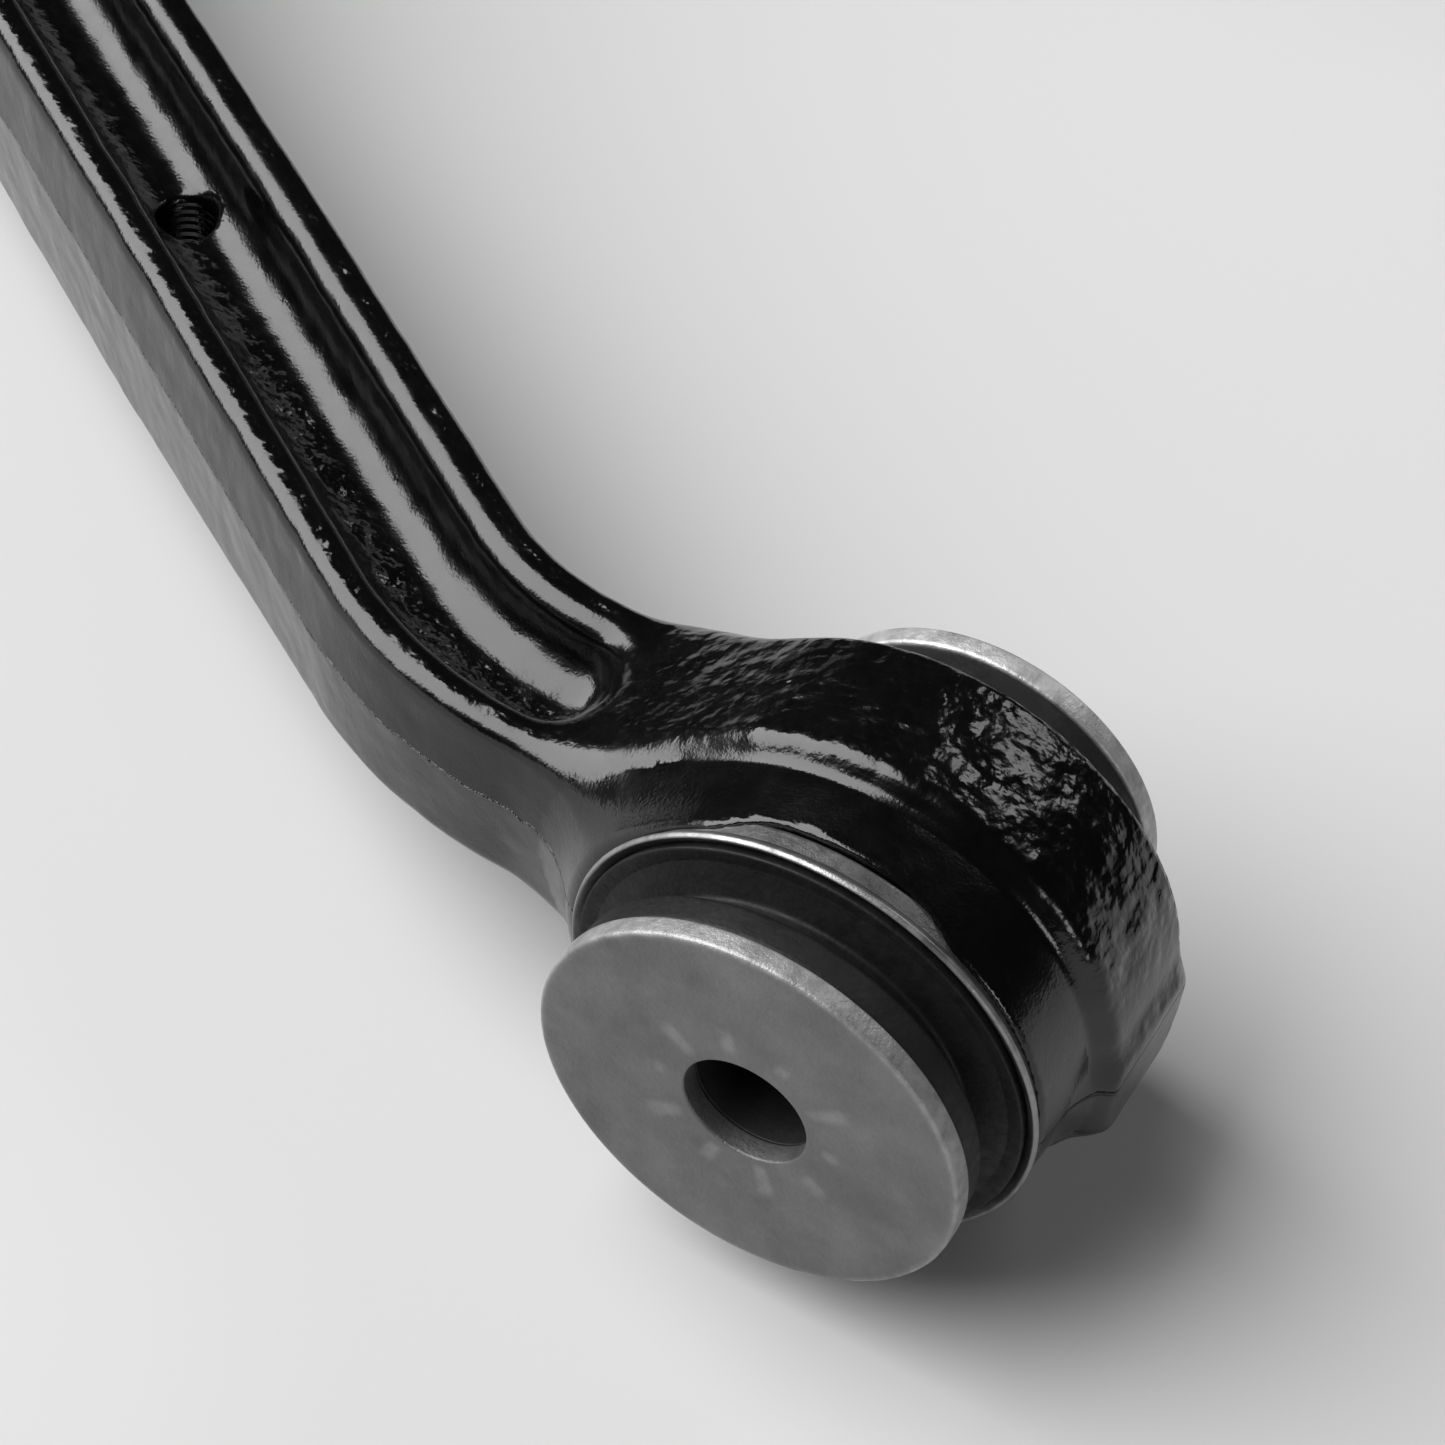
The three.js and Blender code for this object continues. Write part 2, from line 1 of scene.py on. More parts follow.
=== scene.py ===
"""A forged control arm's looks: its forging, bushes and ball joint, on a pale floor in soft studio light.

Shapes are worked out in millimetres and written to the meshes in metres. The arm's own frame has X inboard
from a bush's centre, Y from the pivot axis to the ball joint and Z up. The arm is the same on both sides.
"""
import math

import bpy
import numpy as np
from mathutils import Matrix, Vector


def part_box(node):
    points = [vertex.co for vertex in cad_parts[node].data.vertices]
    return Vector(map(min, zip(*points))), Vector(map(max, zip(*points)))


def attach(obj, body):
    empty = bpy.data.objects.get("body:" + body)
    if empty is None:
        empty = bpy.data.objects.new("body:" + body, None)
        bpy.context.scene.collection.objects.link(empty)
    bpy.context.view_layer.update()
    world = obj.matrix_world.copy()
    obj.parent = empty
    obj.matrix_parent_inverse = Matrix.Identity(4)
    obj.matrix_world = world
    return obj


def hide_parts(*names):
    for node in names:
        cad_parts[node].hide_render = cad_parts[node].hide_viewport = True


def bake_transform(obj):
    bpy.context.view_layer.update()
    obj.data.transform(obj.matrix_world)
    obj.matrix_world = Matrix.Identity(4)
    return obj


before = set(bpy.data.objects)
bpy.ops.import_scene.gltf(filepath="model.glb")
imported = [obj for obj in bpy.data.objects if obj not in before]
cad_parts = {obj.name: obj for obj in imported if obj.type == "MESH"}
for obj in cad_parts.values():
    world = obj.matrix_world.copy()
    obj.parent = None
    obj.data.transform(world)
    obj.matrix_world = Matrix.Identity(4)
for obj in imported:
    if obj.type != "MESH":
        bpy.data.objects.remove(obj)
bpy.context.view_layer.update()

MM = 0.001

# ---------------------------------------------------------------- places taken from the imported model
bush_low, bush_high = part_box("front_bush_outboard_plate")
_, core_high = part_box("front_bush_inboard_plate")
BUSH_LENGTH = (core_high[0] - bush_low[0]) / MM
BUSH_X = (core_high[0] + bush_low[0]) / 2 / MM  # front bush centre; the rear one is at -BUSH_X
PIVOT_Y = (bush_high[1] + bush_low[1]) / 2 / MM
PIVOT_Z = (bush_high[2] + bush_low[2]) / 2 / MM
housing_low, housing_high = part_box("ball_joint_housing")
BALL_Y = (housing_low[1] + housing_high[1]) / 2 / MM
REACH = BALL_Y - PIVOT_Y

# ---------------------------------------------------------------- the forging's dimensions
# An edge is the rounding of an outer corner, and a fillet the rounding of an inner one.
EYE_RADIUS = 30.85
EYE_CROWN = 0.006  # the eye's radius falls by this times the square of the distance inboard of EYE_CROWN_X
EYE_CROWN_X = 5.0
EYE_INNER_X = 14.9
EYE_INNER_EDGE = 1.1
EYE_RIDGE_X = -3.2
EYE_RIDGE_EDGE = 2.0
EYE_BORE = 25.7
EYE_BORE_EDGE = 0.3
EYE_FILLET = 14.0  # where the leg runs into the eye
NOSE_X = -13.7  # the nose ends under the sleeve's lip
NOSE_BARE = 2.1  # and stops this much short of it at the top, where the sleeve shows
NOSE_BARE_RISE = (0.84, 0.98)  # height over radius, from where it starts to fall short to where it is full
NOSE_RADIUS = 27.9
NOSE_FLARE = 0.8  # wider at the ridge than at its end
NOSE_EDGE = 0.5
NOSE_FILLET = 1.5
TRIM_Y = -31.8  # flat land where the flash was trimmed off, on the eye's far side
TRIM_X = 5.4
TRIM_HALF_WIDTH = 8.0
TRIM_HALF_HEIGHT = 4.0
TRIM_SIDE_EDGE = 5.0
TRIM_EDGE = 1.5
TRIM_DEPTH = 8  # how far the land's block reaches into the eye
TRIM_FILLET = 6.0
TRIM_FACE_EDGE = 0.5
LEG_START = 10
LEG_HALF_WIDTH = 13.3
LEG_DRAFT = 0.085
LEG_EDGE = 2.3
LEG_TOP = (10.6, 12.0)  # beside the eye, and further out
LEG_BOTTOM = (-13.8, -19.0)
LEG_GROWS = (50.0, 135.0)  # stretch of the leg over which it changes from the first to the second
LEG_OFFSET = 6.3
ROOT_STRAIGHT = 42.7
BEND_RADIUS = 45.0
BEND_ANGLE = math.radians(31.8)
MID_STRAIGHT = 122.0
WEB_TOP = 2.4
WEB_BOTTOM = -4.5
WEB_FILLET = 5.4
WEB_LOWER_FILLET = 3.6
POCKET_HALF_WIDTH = 6.0
POCKET_DRAFT = 0.09
POCKET_SHIFT = 0.4  # the upper pocket lies this far outboard of the leg's middle
POCKET_START = 43.0
POCKET_END_GAP = 46.0
POCKET_EDGE = 2.6
POCKET_LOWER_EDGE = 1.9
BOSS_RADIUS = 29.0
BOSS_TOP = 13.0
BOSS_BOTTOM = -19.0
BOSS_EDGE = 1.6
BOSS_FILLET = 7.0
BOSS_BORE = 21.8
BOSS_BORE_EDGE = 0.6
TAPPED_STATION = 133.0
TAPPED_RADIUS = 3.45
TAPPED_EDGE = 0.9
PAD_RADIUS = 8.0  # solid pad under the web that gives the tapped hole its length
PAD_BOTTOM = -14.0
THREAD_PITCH = 1.25
SKIN_LUMPS = ((0.07, 5.5, 1), (0.045, 2.4, 2))  # height, width and seed of each size of lump in the skin
SKIN_MEAN = 0.09  # how far the lumpy skin lies under the smooth one on average
SKIN_EDGE = (0.4, 2.5)  # the lumps fade in over these distances from a bore
CELL = 0.8  # spacing of the grid that the forging's surface is taken from
SETTLING_STEPS = 3
SETTLING_REACH = 0.35  # the furthest a vertex moves in one step, as a share of a cell


# ---------------------------------------------------------------- smooth joins of signed distances
def intersect_round(a, b, radius):
    u = np.maximum(a + radius, 0)
    v = np.maximum(b + radius, 0)
    return np.minimum(-radius, np.maximum(a, b)) + np.hypot(u, v)


def union_round(a, b, radius):
    u = np.maximum(radius - a, 0)
    v = np.maximum(radius - b, 0)
    return np.maximum(radius, np.minimum(a, b)) - np.hypot(u, v)


def smooth(value, low, high):
    t = np.clip((value - low) / (high - low), 0, 1)
    return t * t * (3 - 2 * t)


def lattice_noise(points, scale, seed):
    """Smooth noise from -1 to 1, with lumps about one scale across."""
    q = points / scale + 1000.0
    cell = np.floor(q).astype(np.int64)
    t = q - cell
    t = t * t * (3 - 2 * t)
    total = np.zeros(len(points))
    for corner in range(8):
        offset = np.array([corner & 1, corner >> 1 & 1, corner >> 2 & 1])
        c = cell + offset
        h = c[:, 0] * 374761393 + c[:, 1] * 668265263 + c[:, 2] * 2147483647 + seed * 1274126177
        h = (h ^ (h >> 13)) * 1103515245
        h = (h ^ (h >> 16)) & 0xFFFF
        weight = np.prod(np.where(offset, t, 1 - t), axis=1)
        total += weight * (h / 32767.5 - 1)
    return total


# ---------------------------------------------------------------- the leg's centreline
BEND_END = ROOT_STRAIGHT + BEND_RADIUS * BEND_ANGLE
MID_END = BEND_END + MID_STRAIGHT
HALF_SPACING = abs(BUSH_X)
bend_centre = (LEG_OFFSET + BEND_RADIUS, ROOT_STRAIGHT)
mid_start = (
    bend_centre[0] - BEND_RADIUS * math.cos(BEND_ANGLE),
    bend_centre[1] + BEND_RADIUS * math.sin(BEND_ANGLE),
)
mid_heading = (math.sin(BEND_ANGLE), math.cos(BEND_ANGLE))
mid_stop = tuple(mid_start[i] + MID_STRAIGHT * mid_heading[i] for i in range(2))
apex_dx, apex_dy = HALF_SPACING - mid_stop[0], REACH - mid_stop[1]
apex_half_turn = math.atan2(apex_dx, apex_dy) - BEND_ANGLE
APEX_RADIUS = math.hypot(apex_dx, apex_dy) / (2 * math.sin(apex_half_turn))
apex_centre = (
    mid_stop[0] + APEX_RADIUS * math.cos(BEND_ANGLE),
    mid_stop[1] - APEX_RADIUS * math.sin(BEND_ANGLE),
)
LEG_LENGTH = MID_END + 2 * apex_half_turn * APEX_RADIUS


def leg_coordinates(x, y):
    """Distance along the leg's centreline, and distance across it, inboard positive."""
    bend_angle = np.arctan2(y - bend_centre[1], bend_centre[0] - x)
    along = (x - mid_start[0]) * mid_heading[0] + (y - mid_start[1]) * mid_heading[1]
    across = (x - mid_start[0]) * mid_heading[1] - (y - mid_start[1]) * mid_heading[0]
    apex_angle = np.arctan2(y - apex_centre[1], apex_centre[0] - x)
    in_root = y < ROOT_STRAIGHT
    in_bend = ~in_root & (along < 0)
    in_apex = along > MID_STRAIGHT
    bend_across = BEND_RADIUS - np.hypot(x - bend_centre[0], y - bend_centre[1])
    apex_across = APEX_RADIUS - np.hypot(x - apex_centre[0], y - apex_centre[1])
    s = np.select(
        [in_root, in_bend, in_apex],
        [y, ROOT_STRAIGHT + BEND_RADIUS * bend_angle, MID_END + APEX_RADIUS * (apex_angle - BEND_ANGLE)],
        BEND_END + along,
    )
    u = np.select([in_root, in_bend, in_apex], [x - LEG_OFFSET, bend_across, apex_across], across)
    return s, u


# ---------------------------------------------------------------- the forging as a signed distance
def pocket(s, u, depth, fillet):
    """A round-ended pocket that starts at depth 0 and opens towards positive depth."""
    beyond = np.maximum(np.maximum(POCKET_START - s, s - (LEG_LENGTH - POCKET_END_GAP)), 0)
    plan = np.hypot(u, beyond) - POCKET_HALF_WIDTH - POCKET_DRAFT * np.maximum(depth, 0)
    return intersect_round(plan, -depth, fillet)


def leg(s, u, z, hole_r):
    """The I-section leg, with the pad round the tapped hole left standing in its lower pocket."""
    grows = smooth(s, *LEG_GROWS)
    top = LEG_TOP[0] + (LEG_TOP[1] - LEG_TOP[0]) * grows
    bottom = LEG_BOTTOM[0] + (LEG_BOTTOM[1] - LEG_BOTTOM[0]) * grows
    side = np.abs(u) - LEG_HALF_WIDTH + LEG_DRAFT * np.abs(z)
    blank = intersect_round(side, np.maximum(z - top, bottom - z), LEG_EDGE)
    blank = np.maximum(blank, LEG_START - s)
    upper = pocket(s, u + POCKET_SHIFT, z - WEB_TOP, WEB_FILLET)
    lower = pocket(s, u, WEB_BOTTOM - z, WEB_LOWER_FILLET)
    lower = np.maximum(lower, np.minimum(PAD_RADIUS - hole_r, z - PAD_BOTTOM))
    blank = intersect_round(blank, -upper, POCKET_EDGE)
    return intersect_round(blank, -lower, POCKET_LOWER_EDGE)


def trim_land(x, y, z):
    """The block whose far face is the flat left where the flash was trimmed."""
    width = np.abs(x - TRIM_X) - TRIM_HALF_WIDTH
    land = intersect_round(width, TRIM_Y - 1 - y, TRIM_SIDE_EDGE)
    land = intersect_round(land, np.abs(z + TRIM_HALF_HEIGHT) - TRIM_HALF_HEIGHT, TRIM_EDGE)
    return np.maximum(land, y + EYE_RADIUS - TRIM_DEPTH)


def eye(x, y, z):
    """The pivot eye: a crowned barrel, the narrower nose outboard of its ridge, and the trimmed land."""
    rho = np.hypot(y, z)
    crowned = rho - EYE_RADIUS + EYE_CROWN * np.maximum(x - EYE_CROWN_X, 0) ** 2
    barrel = intersect_round(crowned, x - EYE_INNER_X, EYE_INNER_EDGE)
    barrel = intersect_round(barrel, EYE_RIDGE_X - x, EYE_RIDGE_EDGE)
    slope = NOSE_FLARE / (EYE_RIDGE_X - NOSE_X)
    nose_end = NOSE_X + NOSE_BARE * smooth(z / np.maximum(rho, 1), *NOSE_BARE_RISE)
    nose = intersect_round(rho - NOSE_RADIUS - slope * (x - NOSE_X), nose_end - x, NOSE_EDGE)
    nose = np.maximum(nose, x - EYE_RIDGE_X - 1)
    whole = union_round(barrel, nose, NOSE_FILLET)
    whole = union_round(whole, trim_land(x, y, z), TRIM_FILLET)
    return intersect_round(whole, TRIM_Y - y, TRIM_FACE_EDGE)


def forging(points):
    """Signed distance to the forging, in millimetres, about a bush's centre."""
    x, y, z = points[:, 0], points[:, 1], points[:, 2]
    s, u = leg_coordinates(x, y)
    hole_r = np.hypot(s - TAPPED_STATION, u)
    boss_r = np.hypot(x - HALF_SPACING, y - REACH)
    body = union_round(eye(x, y, z), leg(s, u, z, hole_r), EYE_FILLET)
    boss = intersect_round(boss_r - BOSS_RADIUS, np.maximum(z - BOSS_TOP, BOSS_BOTTOM - z), BOSS_EDGE)
    body = union_round(body, boss, BOSS_FILLET)
    body = intersect_round(body, EYE_BORE - np.hypot(y, z), EYE_BORE_EDGE)
    body = intersect_round(body, BOSS_BORE - boss_r, BOSS_BORE_EDGE)
    return intersect_round(body, TAPPED_RADIUS - hole_r, TAPPED_EDGE)


def off_bore(distance, bore):
    """How much of the skin shows at a distance from a bore's axis, from 0 in the bore to 1."""
    return smooth(distance, bore + SKIN_EDGE[0], bore + SKIN_EDGE[1])


def forging_with_skin(points):
    """The forging with the hammered skin that scale leaves on it, kept off the bores and nose."""
    lumps = sum(height * lattice_noise(points, width, seed) for height, width, seed in SKIN_LUMPS)
    rho = np.hypot(points[:, 1], points[:, 2])
    boss_r = np.hypot(points[:, 0] - HALF_SPACING, points[:, 1] - REACH)
    skin = off_bore(rho, EYE_BORE) * off_bore(boss_r, BOSS_BORE)
    skin *= np.maximum(smooth(points[:, 0], EYE_RIDGE_X - 3, EYE_RIDGE_X), smooth(rho, 34, 40))
    return forging(points) + SKIN_MEAN - lumps * skin - SKIN_MEAN * (1 - skin)


def gradient(field, points, step=0.05):
    grad = np.empty_like(points)
    for axis in range(3):
        shift = np.zeros(3)
        shift[axis] = step
        grad[:, axis] = (field(points + shift) - field(points - shift)) / (2 * step)
    return grad


def mirrored_grid(field, low, high, cell):
    """A field sampled on a grid that is the same on both sides of X = 0, with the grid's lowest corner."""
    half = math.ceil(-low[0] / cell)
    axes = [cell * np.arange(-half, half + 1)]
    axes += [low[i] + cell * np.arange(math.ceil((high[i] - low[i]) / cell) + 1) for i in (1, 2)]
    value = np.empty([len(a) for a in axes], dtype=np.float32)
    for i in range(half + 1):
        grid = np.stack(np.meshgrid(axes[0][i : i + 1], axes[1], axes[2], indexing="ij"), axis=-1)
        value[i] = field(grid.reshape(-1, 3)).reshape(value.shape[1:])
        value[2 * half - i] = value[i]
    return value, np.array([axis[0] for axis in axes])


def surface_net(value, low, cell):
    """Vertices and quads of the zero surface of a field sampled on a grid."""
    inside = value < 0
    cells = np.array(value.shape) - 1
    total = np.zeros((*cells, 3), dtype=np.float32)
    crossings = np.zeros(cells, dtype=np.int16)
    edges = []
    for axis in range(3):
        near = [slice(None)] * 3
        far = [slice(None)] * 3
        near[axis] = slice(0, -1)
        far[axis] = slice(1, None)
        crossed = inside[tuple(near)] != inside[tuple(far)]
        a, b = value[tuple(near)][crossed], value[tuple(far)][crossed]
        where = np.argwhere(crossed)
        place = where.astype(np.float32)
        place[:, axis] += a / (a - b)
        edges.append((axis, where, inside[tuple(near)][crossed]))
        others = [k for k in range(3) if k != axis]
        for shift_a in (0, 1):
            for shift_b in (0, 1):
                owner = where.copy()
                owner[:, others[0]] -= shift_a
                owner[:, others[1]] -= shift_b
                index = tuple(owner.T)
                np.add.at(total, index, place)
                np.add.at(crossings, index, 1)
    used = crossings > 0
    number = np.full(cells, -1, dtype=np.int64)
    number[used] = np.arange(used.sum())
    vertices = total[used] / crossings[used][:, None] * cell + low
    quads = []
    for axis, where, starts_inside in edges:
        b, c = [(1, 2), (2, 0), (0, 1)][axis]
        corners = []
        for shift_b, shift_c in ((-1, -1), (0, -1), (0, 0), (-1, 0)):
            owner = where.copy()
            owner[:, b] += shift_b
            owner[:, c] += shift_c
            corners.append(number[tuple(owner.T)])
        quad = np.stack(corners, axis=1)
        quad[~starts_inside] = quad[~starts_inside][:, ::-1]
        quads.append(quad)
    return vertices.astype(float), np.concatenate(quads)


def arm_field(points):
    """The forging's signed distance about the arm's middle plane and pivot axis."""
    folded = points.copy()
    folded[:, 0] = HALF_SPACING - np.abs(points[:, 0])
    return forging_with_skin(folded)


def settled(field, value, corner, cell):
    """Vertices moved onto the field's zero surface, with quads and the field's own normals."""
    vertices, quads = surface_net(value, corner, cell)
    for _ in range(SETTLING_STEPS):
        grad = gradient(field, vertices)
        step = field(vertices) / np.maximum((grad**2).sum(axis=1), 0.2)
        vertices -= grad * np.clip(step, -SETTLING_REACH * cell, SETTLING_REACH * cell)[:, None]
    normals = gradient(field, vertices)
    normals /= np.maximum(np.linalg.norm(normals, axis=1), 1e-9)[:, None]
    return vertices, quads, normals


def forging_surface():
    low = (NOSE_X - 2 - HALF_SPACING, -EYE_RADIUS - 2, -EYE_RADIUS - 2)
    high = (0, REACH + BOSS_RADIUS + 2, EYE_RADIUS + 2)
    return settled(arm_field, *mirrored_grid(arm_field, low, high, CELL), CELL)


# ---------------------------------------------------------------- meshes
def new_piece(name, vertices, faces, material, body, replaced=()):
    """A smooth mesh object from millimetre vertices."""
    mesh = bpy.data.meshes.new(name)
    mesh.from_pydata((np.asarray(vertices) * MM).tolist(), [], [list(map(int, f)) for f in faces])
    mesh.polygons.foreach_set("use_smooth", [True] * len(mesh.polygons))
    mesh.materials.append(material)
    piece = bpy.data.objects.new(name, mesh)
    bpy.context.scene.collection.objects.link(piece)
    if replaced:
        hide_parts(*replaced)
    if body:
        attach(piece, body)
    return piece


def set_values(piece, name, values):
    """Stores one number for each vertex, which the piece's material reads."""
    layer = piece.data.attributes.new(name, "FLOAT", "POINT")
    layer.data.foreach_set("value", np.asarray(values, dtype=np.float32))


def rounded(outline, steps=4):
    """Rounds an outline's corners: each point is (radius, height) or (radius, height, rounding)."""
    points = []
    count = len(outline)
    for i, corner in enumerate(outline):
        here = np.array(corner[:2], float)
        rounding = corner[2] if len(corner) > 2 else 0
        before = np.array(outline[i - 1][:2], float) - here
        after = np.array(outline[(i + 1) % count][:2], float) - here
        if not rounding:
            points.append(tuple(here))
            continue
        before_length, after_length = np.linalg.norm(before), np.linalg.norm(after)
        before, after = before / before_length, after / after_length
        half = math.acos(np.clip(before @ after, -1, 1)) / 2
        reach = min(rounding / math.tan(half), 0.49 * before_length, 0.49 * after_length)
        start, stop = here + before * reach, here + after * reach
        for k in range(steps + 1):
            t = k / steps
            weight = (1 - t) ** 2, 2 * t * (1 - t), t * t
            points.append(tuple(weight[0] * start + weight[1] * here + weight[2] * stop))
    return points


def revolve(outline, around=128):
    """Vertices and quads of a closed (radius, height) outline turned about Z."""
    profile = np.array(outline, float)
    angles = np.arange(around) * 2 * math.pi / around
    r, h = profile[:, 0], profile[:, 1]
    vertices = np.stack(
        [np.outer(np.cos(angles), r), np.outer(np.sin(angles), r), np.tile(h, (around, 1))], axis=-1
    ).reshape(-1, 3)
    count = len(profile)
    i, j = np.meshgrid(np.arange(around), np.arange(count), indexing="ij")
    i2, j2 = (i + 1) % around, (j + 1) % count
    quads = np.stack([i * count + j, i2 * count + j, i2 * count + j2, i * count + j2], axis=-1)
    return vertices, quads.reshape(-1, 4)


def keep_sharp(piece, angle=35):
    """Marks the edges that turn by more than an angle as sharp, so that flat faces shade flat."""
    piece.data.set_sharp_from_angle(angle=math.radians(angle))
    return piece


def along_pivot(vertices, side):
    """Lays a piece turned about Z on the pivot axis, with height 0 at the bush's outboard face.

    Its faces turn inside out, so the caller reverses them.
    """
    outboard = side * (BUSH_X - BUSH_LENGTH / 2)
    x = outboard + side * vertices[:, 2]
    return np.stack([x, vertices[:, 1] + PIVOT_Y, side * vertices[:, 0] + PIVOT_Z], axis=-1)


# ---------------------------------------------------------------- materials
NOISE_RANGE = (0.3, 0.7)
PAINT_GLOSS = 0.5
PAINT_TINT = (900, 3)  # lumps per metre, noise detail and, if given, noise roughness
PAINT_STREAKS = (260, 2, 0.6)
PAINT_STREAK_RANGE = (0.35, 0.7)
PARTING_NOISE = (300, 4, 0.7)
METAL_TONE = (90, 5, 0.6)
METAL_PATCHES = (420, 3, 0.6)
METAL_GLOSS = (500, 4)
# The lighter edges of the bush plates and the sleeve's lip are partly wear and partly painted highlight,
# where the light catches them.
WEAR_AND_HIGHLIGHT_PATCH_RANGE = (0.3, 0.62)
LEAST_WEAR_AND_HIGHLIGHT = 0.35  # share of the wear and painted highlight that the dullest patches keep
RUBBER_GLOSS = 0.28
RUBBER_TONE = (160, 4, 0.6)
RUBBER_SHEEN = (700, 3)
PAINT_TONES = ((0.0004,) * 3, (0.0022,) * 3)
PAINT_ROUGHNESS = (0.15, 0.22)
PAINT_PITS = (900, 1, 0.00034)  # lumps per metre, noise detail and depth in metres
PAINT_HOLLOWS = (380, 1, 0.0006)
PAINT_WRINKLES = (190, 2, 0.0008)
PAINT_GRAIN = (2600, 1, 0.00007)
PAINT_GRAIN_STRENGTH = 0.35
PARTING_WANDER = 0.35  # how far the trimmed parting line strays, in millimetres
PARTING_HALF_WIDTH = (0.05, 0.3)  # of the line's crest and of its foot
PARTING_DEPTH = 0.00022
NO_PARTING = 9.0
TAPPED_THREAD_DEPTH = 0.0002
RUBBER_TONES = ((0.003,) * 3, (0.009,) * 3)
RUBBER_ROUGHNESS = (0.5, 0.68)
RUBBER_GRAIN = (1500, 3, 0.00008)


def nodes_for(name):
    material = bpy.data.materials.new(name)
    material.use_nodes = True
    tree = material.node_tree
    return material, tree, tree.nodes["Principled BSDF"]


def link(tree, out, into):
    tree.links.new(out, into)


def noise(tree, scale, detail=2.0, roughness=0.5):
    """Noise in the piece's own metres; scale is lumps per metre."""
    place = tree.nodes.new("ShaderNodeTexCoord")
    texture = tree.nodes.new("ShaderNodeTexNoise")
    texture.inputs["Scale"].default_value = scale
    texture.inputs["Detail"].default_value = detail
    texture.inputs["Roughness"].default_value = roughness
    link(tree, place.outputs["Object"], texture.inputs["Vector"])
    return texture.outputs["Fac"]


def ramp(tree, value, low, high, start, stop):
    """Maps value from low..high to start..stop, held at the ends."""
    node = tree.nodes.new("ShaderNodeMapRange")
    node.inputs["From Min"].default_value = low
    node.inputs["From Max"].default_value = high
    node.inputs["To Min"].default_value = start
    node.inputs["To Max"].default_value = stop
    link(tree, value, node.inputs["Value"])
    return node.outputs["Result"]


def grey(level):
    return (level, level, level)


def colour_mix(tree, factor, first, second):
    """Mixes two colours, each a tuple or another node's output."""
    node = tree.nodes.new("ShaderNodeMix")
    node.data_type = "RGBA"
    for name, colour in (("A", first), ("B", second)):
        if isinstance(colour, tuple):
            node.inputs[name].default_value = (*colour, 1)
        else:
            link(tree, colour, node.inputs[name])
    link(tree, factor, node.inputs["Factor"])
    return node.outputs["Result"]


def math_node(tree, operation, a, b):
    node = tree.nodes.new("ShaderNodeMath")
    node.operation = operation
    for socket, value in zip(node.inputs, (a, b)):
        if isinstance(value, (int, float)):
            socket.default_value = value
        else:
            link(tree, value, socket)
    return node.outputs["Value"]


def bump(tree, height, distance, strength=1.0, under=None):
    node = tree.nodes.new("ShaderNodeBump")
    node.inputs["Distance"].default_value = distance
    if isinstance(strength, float):
        node.inputs["Strength"].default_value = strength
    else:
        link(tree, strength, node.inputs["Strength"])
    link(tree, height, node.inputs["Height"])
    if under is not None:
        link(tree, under, node.inputs["Normal"])
    return node.outputs["Normal"]


def attribute(tree, name):
    node = tree.nodes.new("ShaderNodeAttribute")
    node.attribute_name = name
    return node.outputs["Fac"]


def noise_bump(tree, lumps, strength, under=None):
    """Bump from (lumps per metre, noise detail, depth in metres)."""
    scale, detail, depth = lumps
    return bump(tree, noise(tree, scale, detail), depth, strength, under)


def full_range(tree, value):
    """The middle of a noise's range, where nearly all of it lies, spread over 0 to 1."""
    return ramp(tree, value, *NOISE_RANGE, 0, 1)


def black_paint():
    """Gloss black paint, thin enough to show the forging's pitted skin, parting line and thread."""
    material, tree, shader = nodes_for("black_paint")
    shader.inputs["Specular IOR Level"].default_value = PAINT_GLOSS
    rough = attribute(tree, "rough_skin")
    tint = noise(tree, *PAINT_TINT)
    link(tree, colour_mix(tree, tint, *PAINT_TONES), shader.inputs["Base Color"])
    streaks = ramp(tree, noise(tree, *PAINT_STREAKS), *PAINT_STREAK_RANGE, *PAINT_ROUGHNESS)
    link(tree, streaks, shader.inputs["Roughness"])
    pits = noise_bump(tree, PAINT_PITS, rough)
    hollows = noise_bump(tree, PAINT_HOLLOWS, rough, pits)
    wrinkles = noise_bump(tree, PAINT_WRINKLES, attribute(tree, "wrinkled_skin"), hollows)
    wander = ramp(tree, noise(tree, *PARTING_NOISE), *NOISE_RANGE, -PARTING_WANDER, PARTING_WANDER)
    height = math_node(tree, "ADD", attribute(tree, "parting_height"), wander)
    line = ramp(tree, math_node(tree, "ABSOLUTE", height, 0.0), *PARTING_HALF_WIDTH, 1, 0)
    seam = bump(tree, line, PARTING_DEPTH, 1.0, wrinkles)
    pitch = math_node(tree, "SINE", attribute(tree, "thread_turns"), 0.0)
    thread = bump(tree, pitch, TAPPED_THREAD_DEPTH, attribute(tree, "threaded"), seam)
    link(tree, noise_bump(tree, PAINT_GRAIN, PAINT_GRAIN_STRENGTH, thread), shader.inputs["Normal"])
    return material


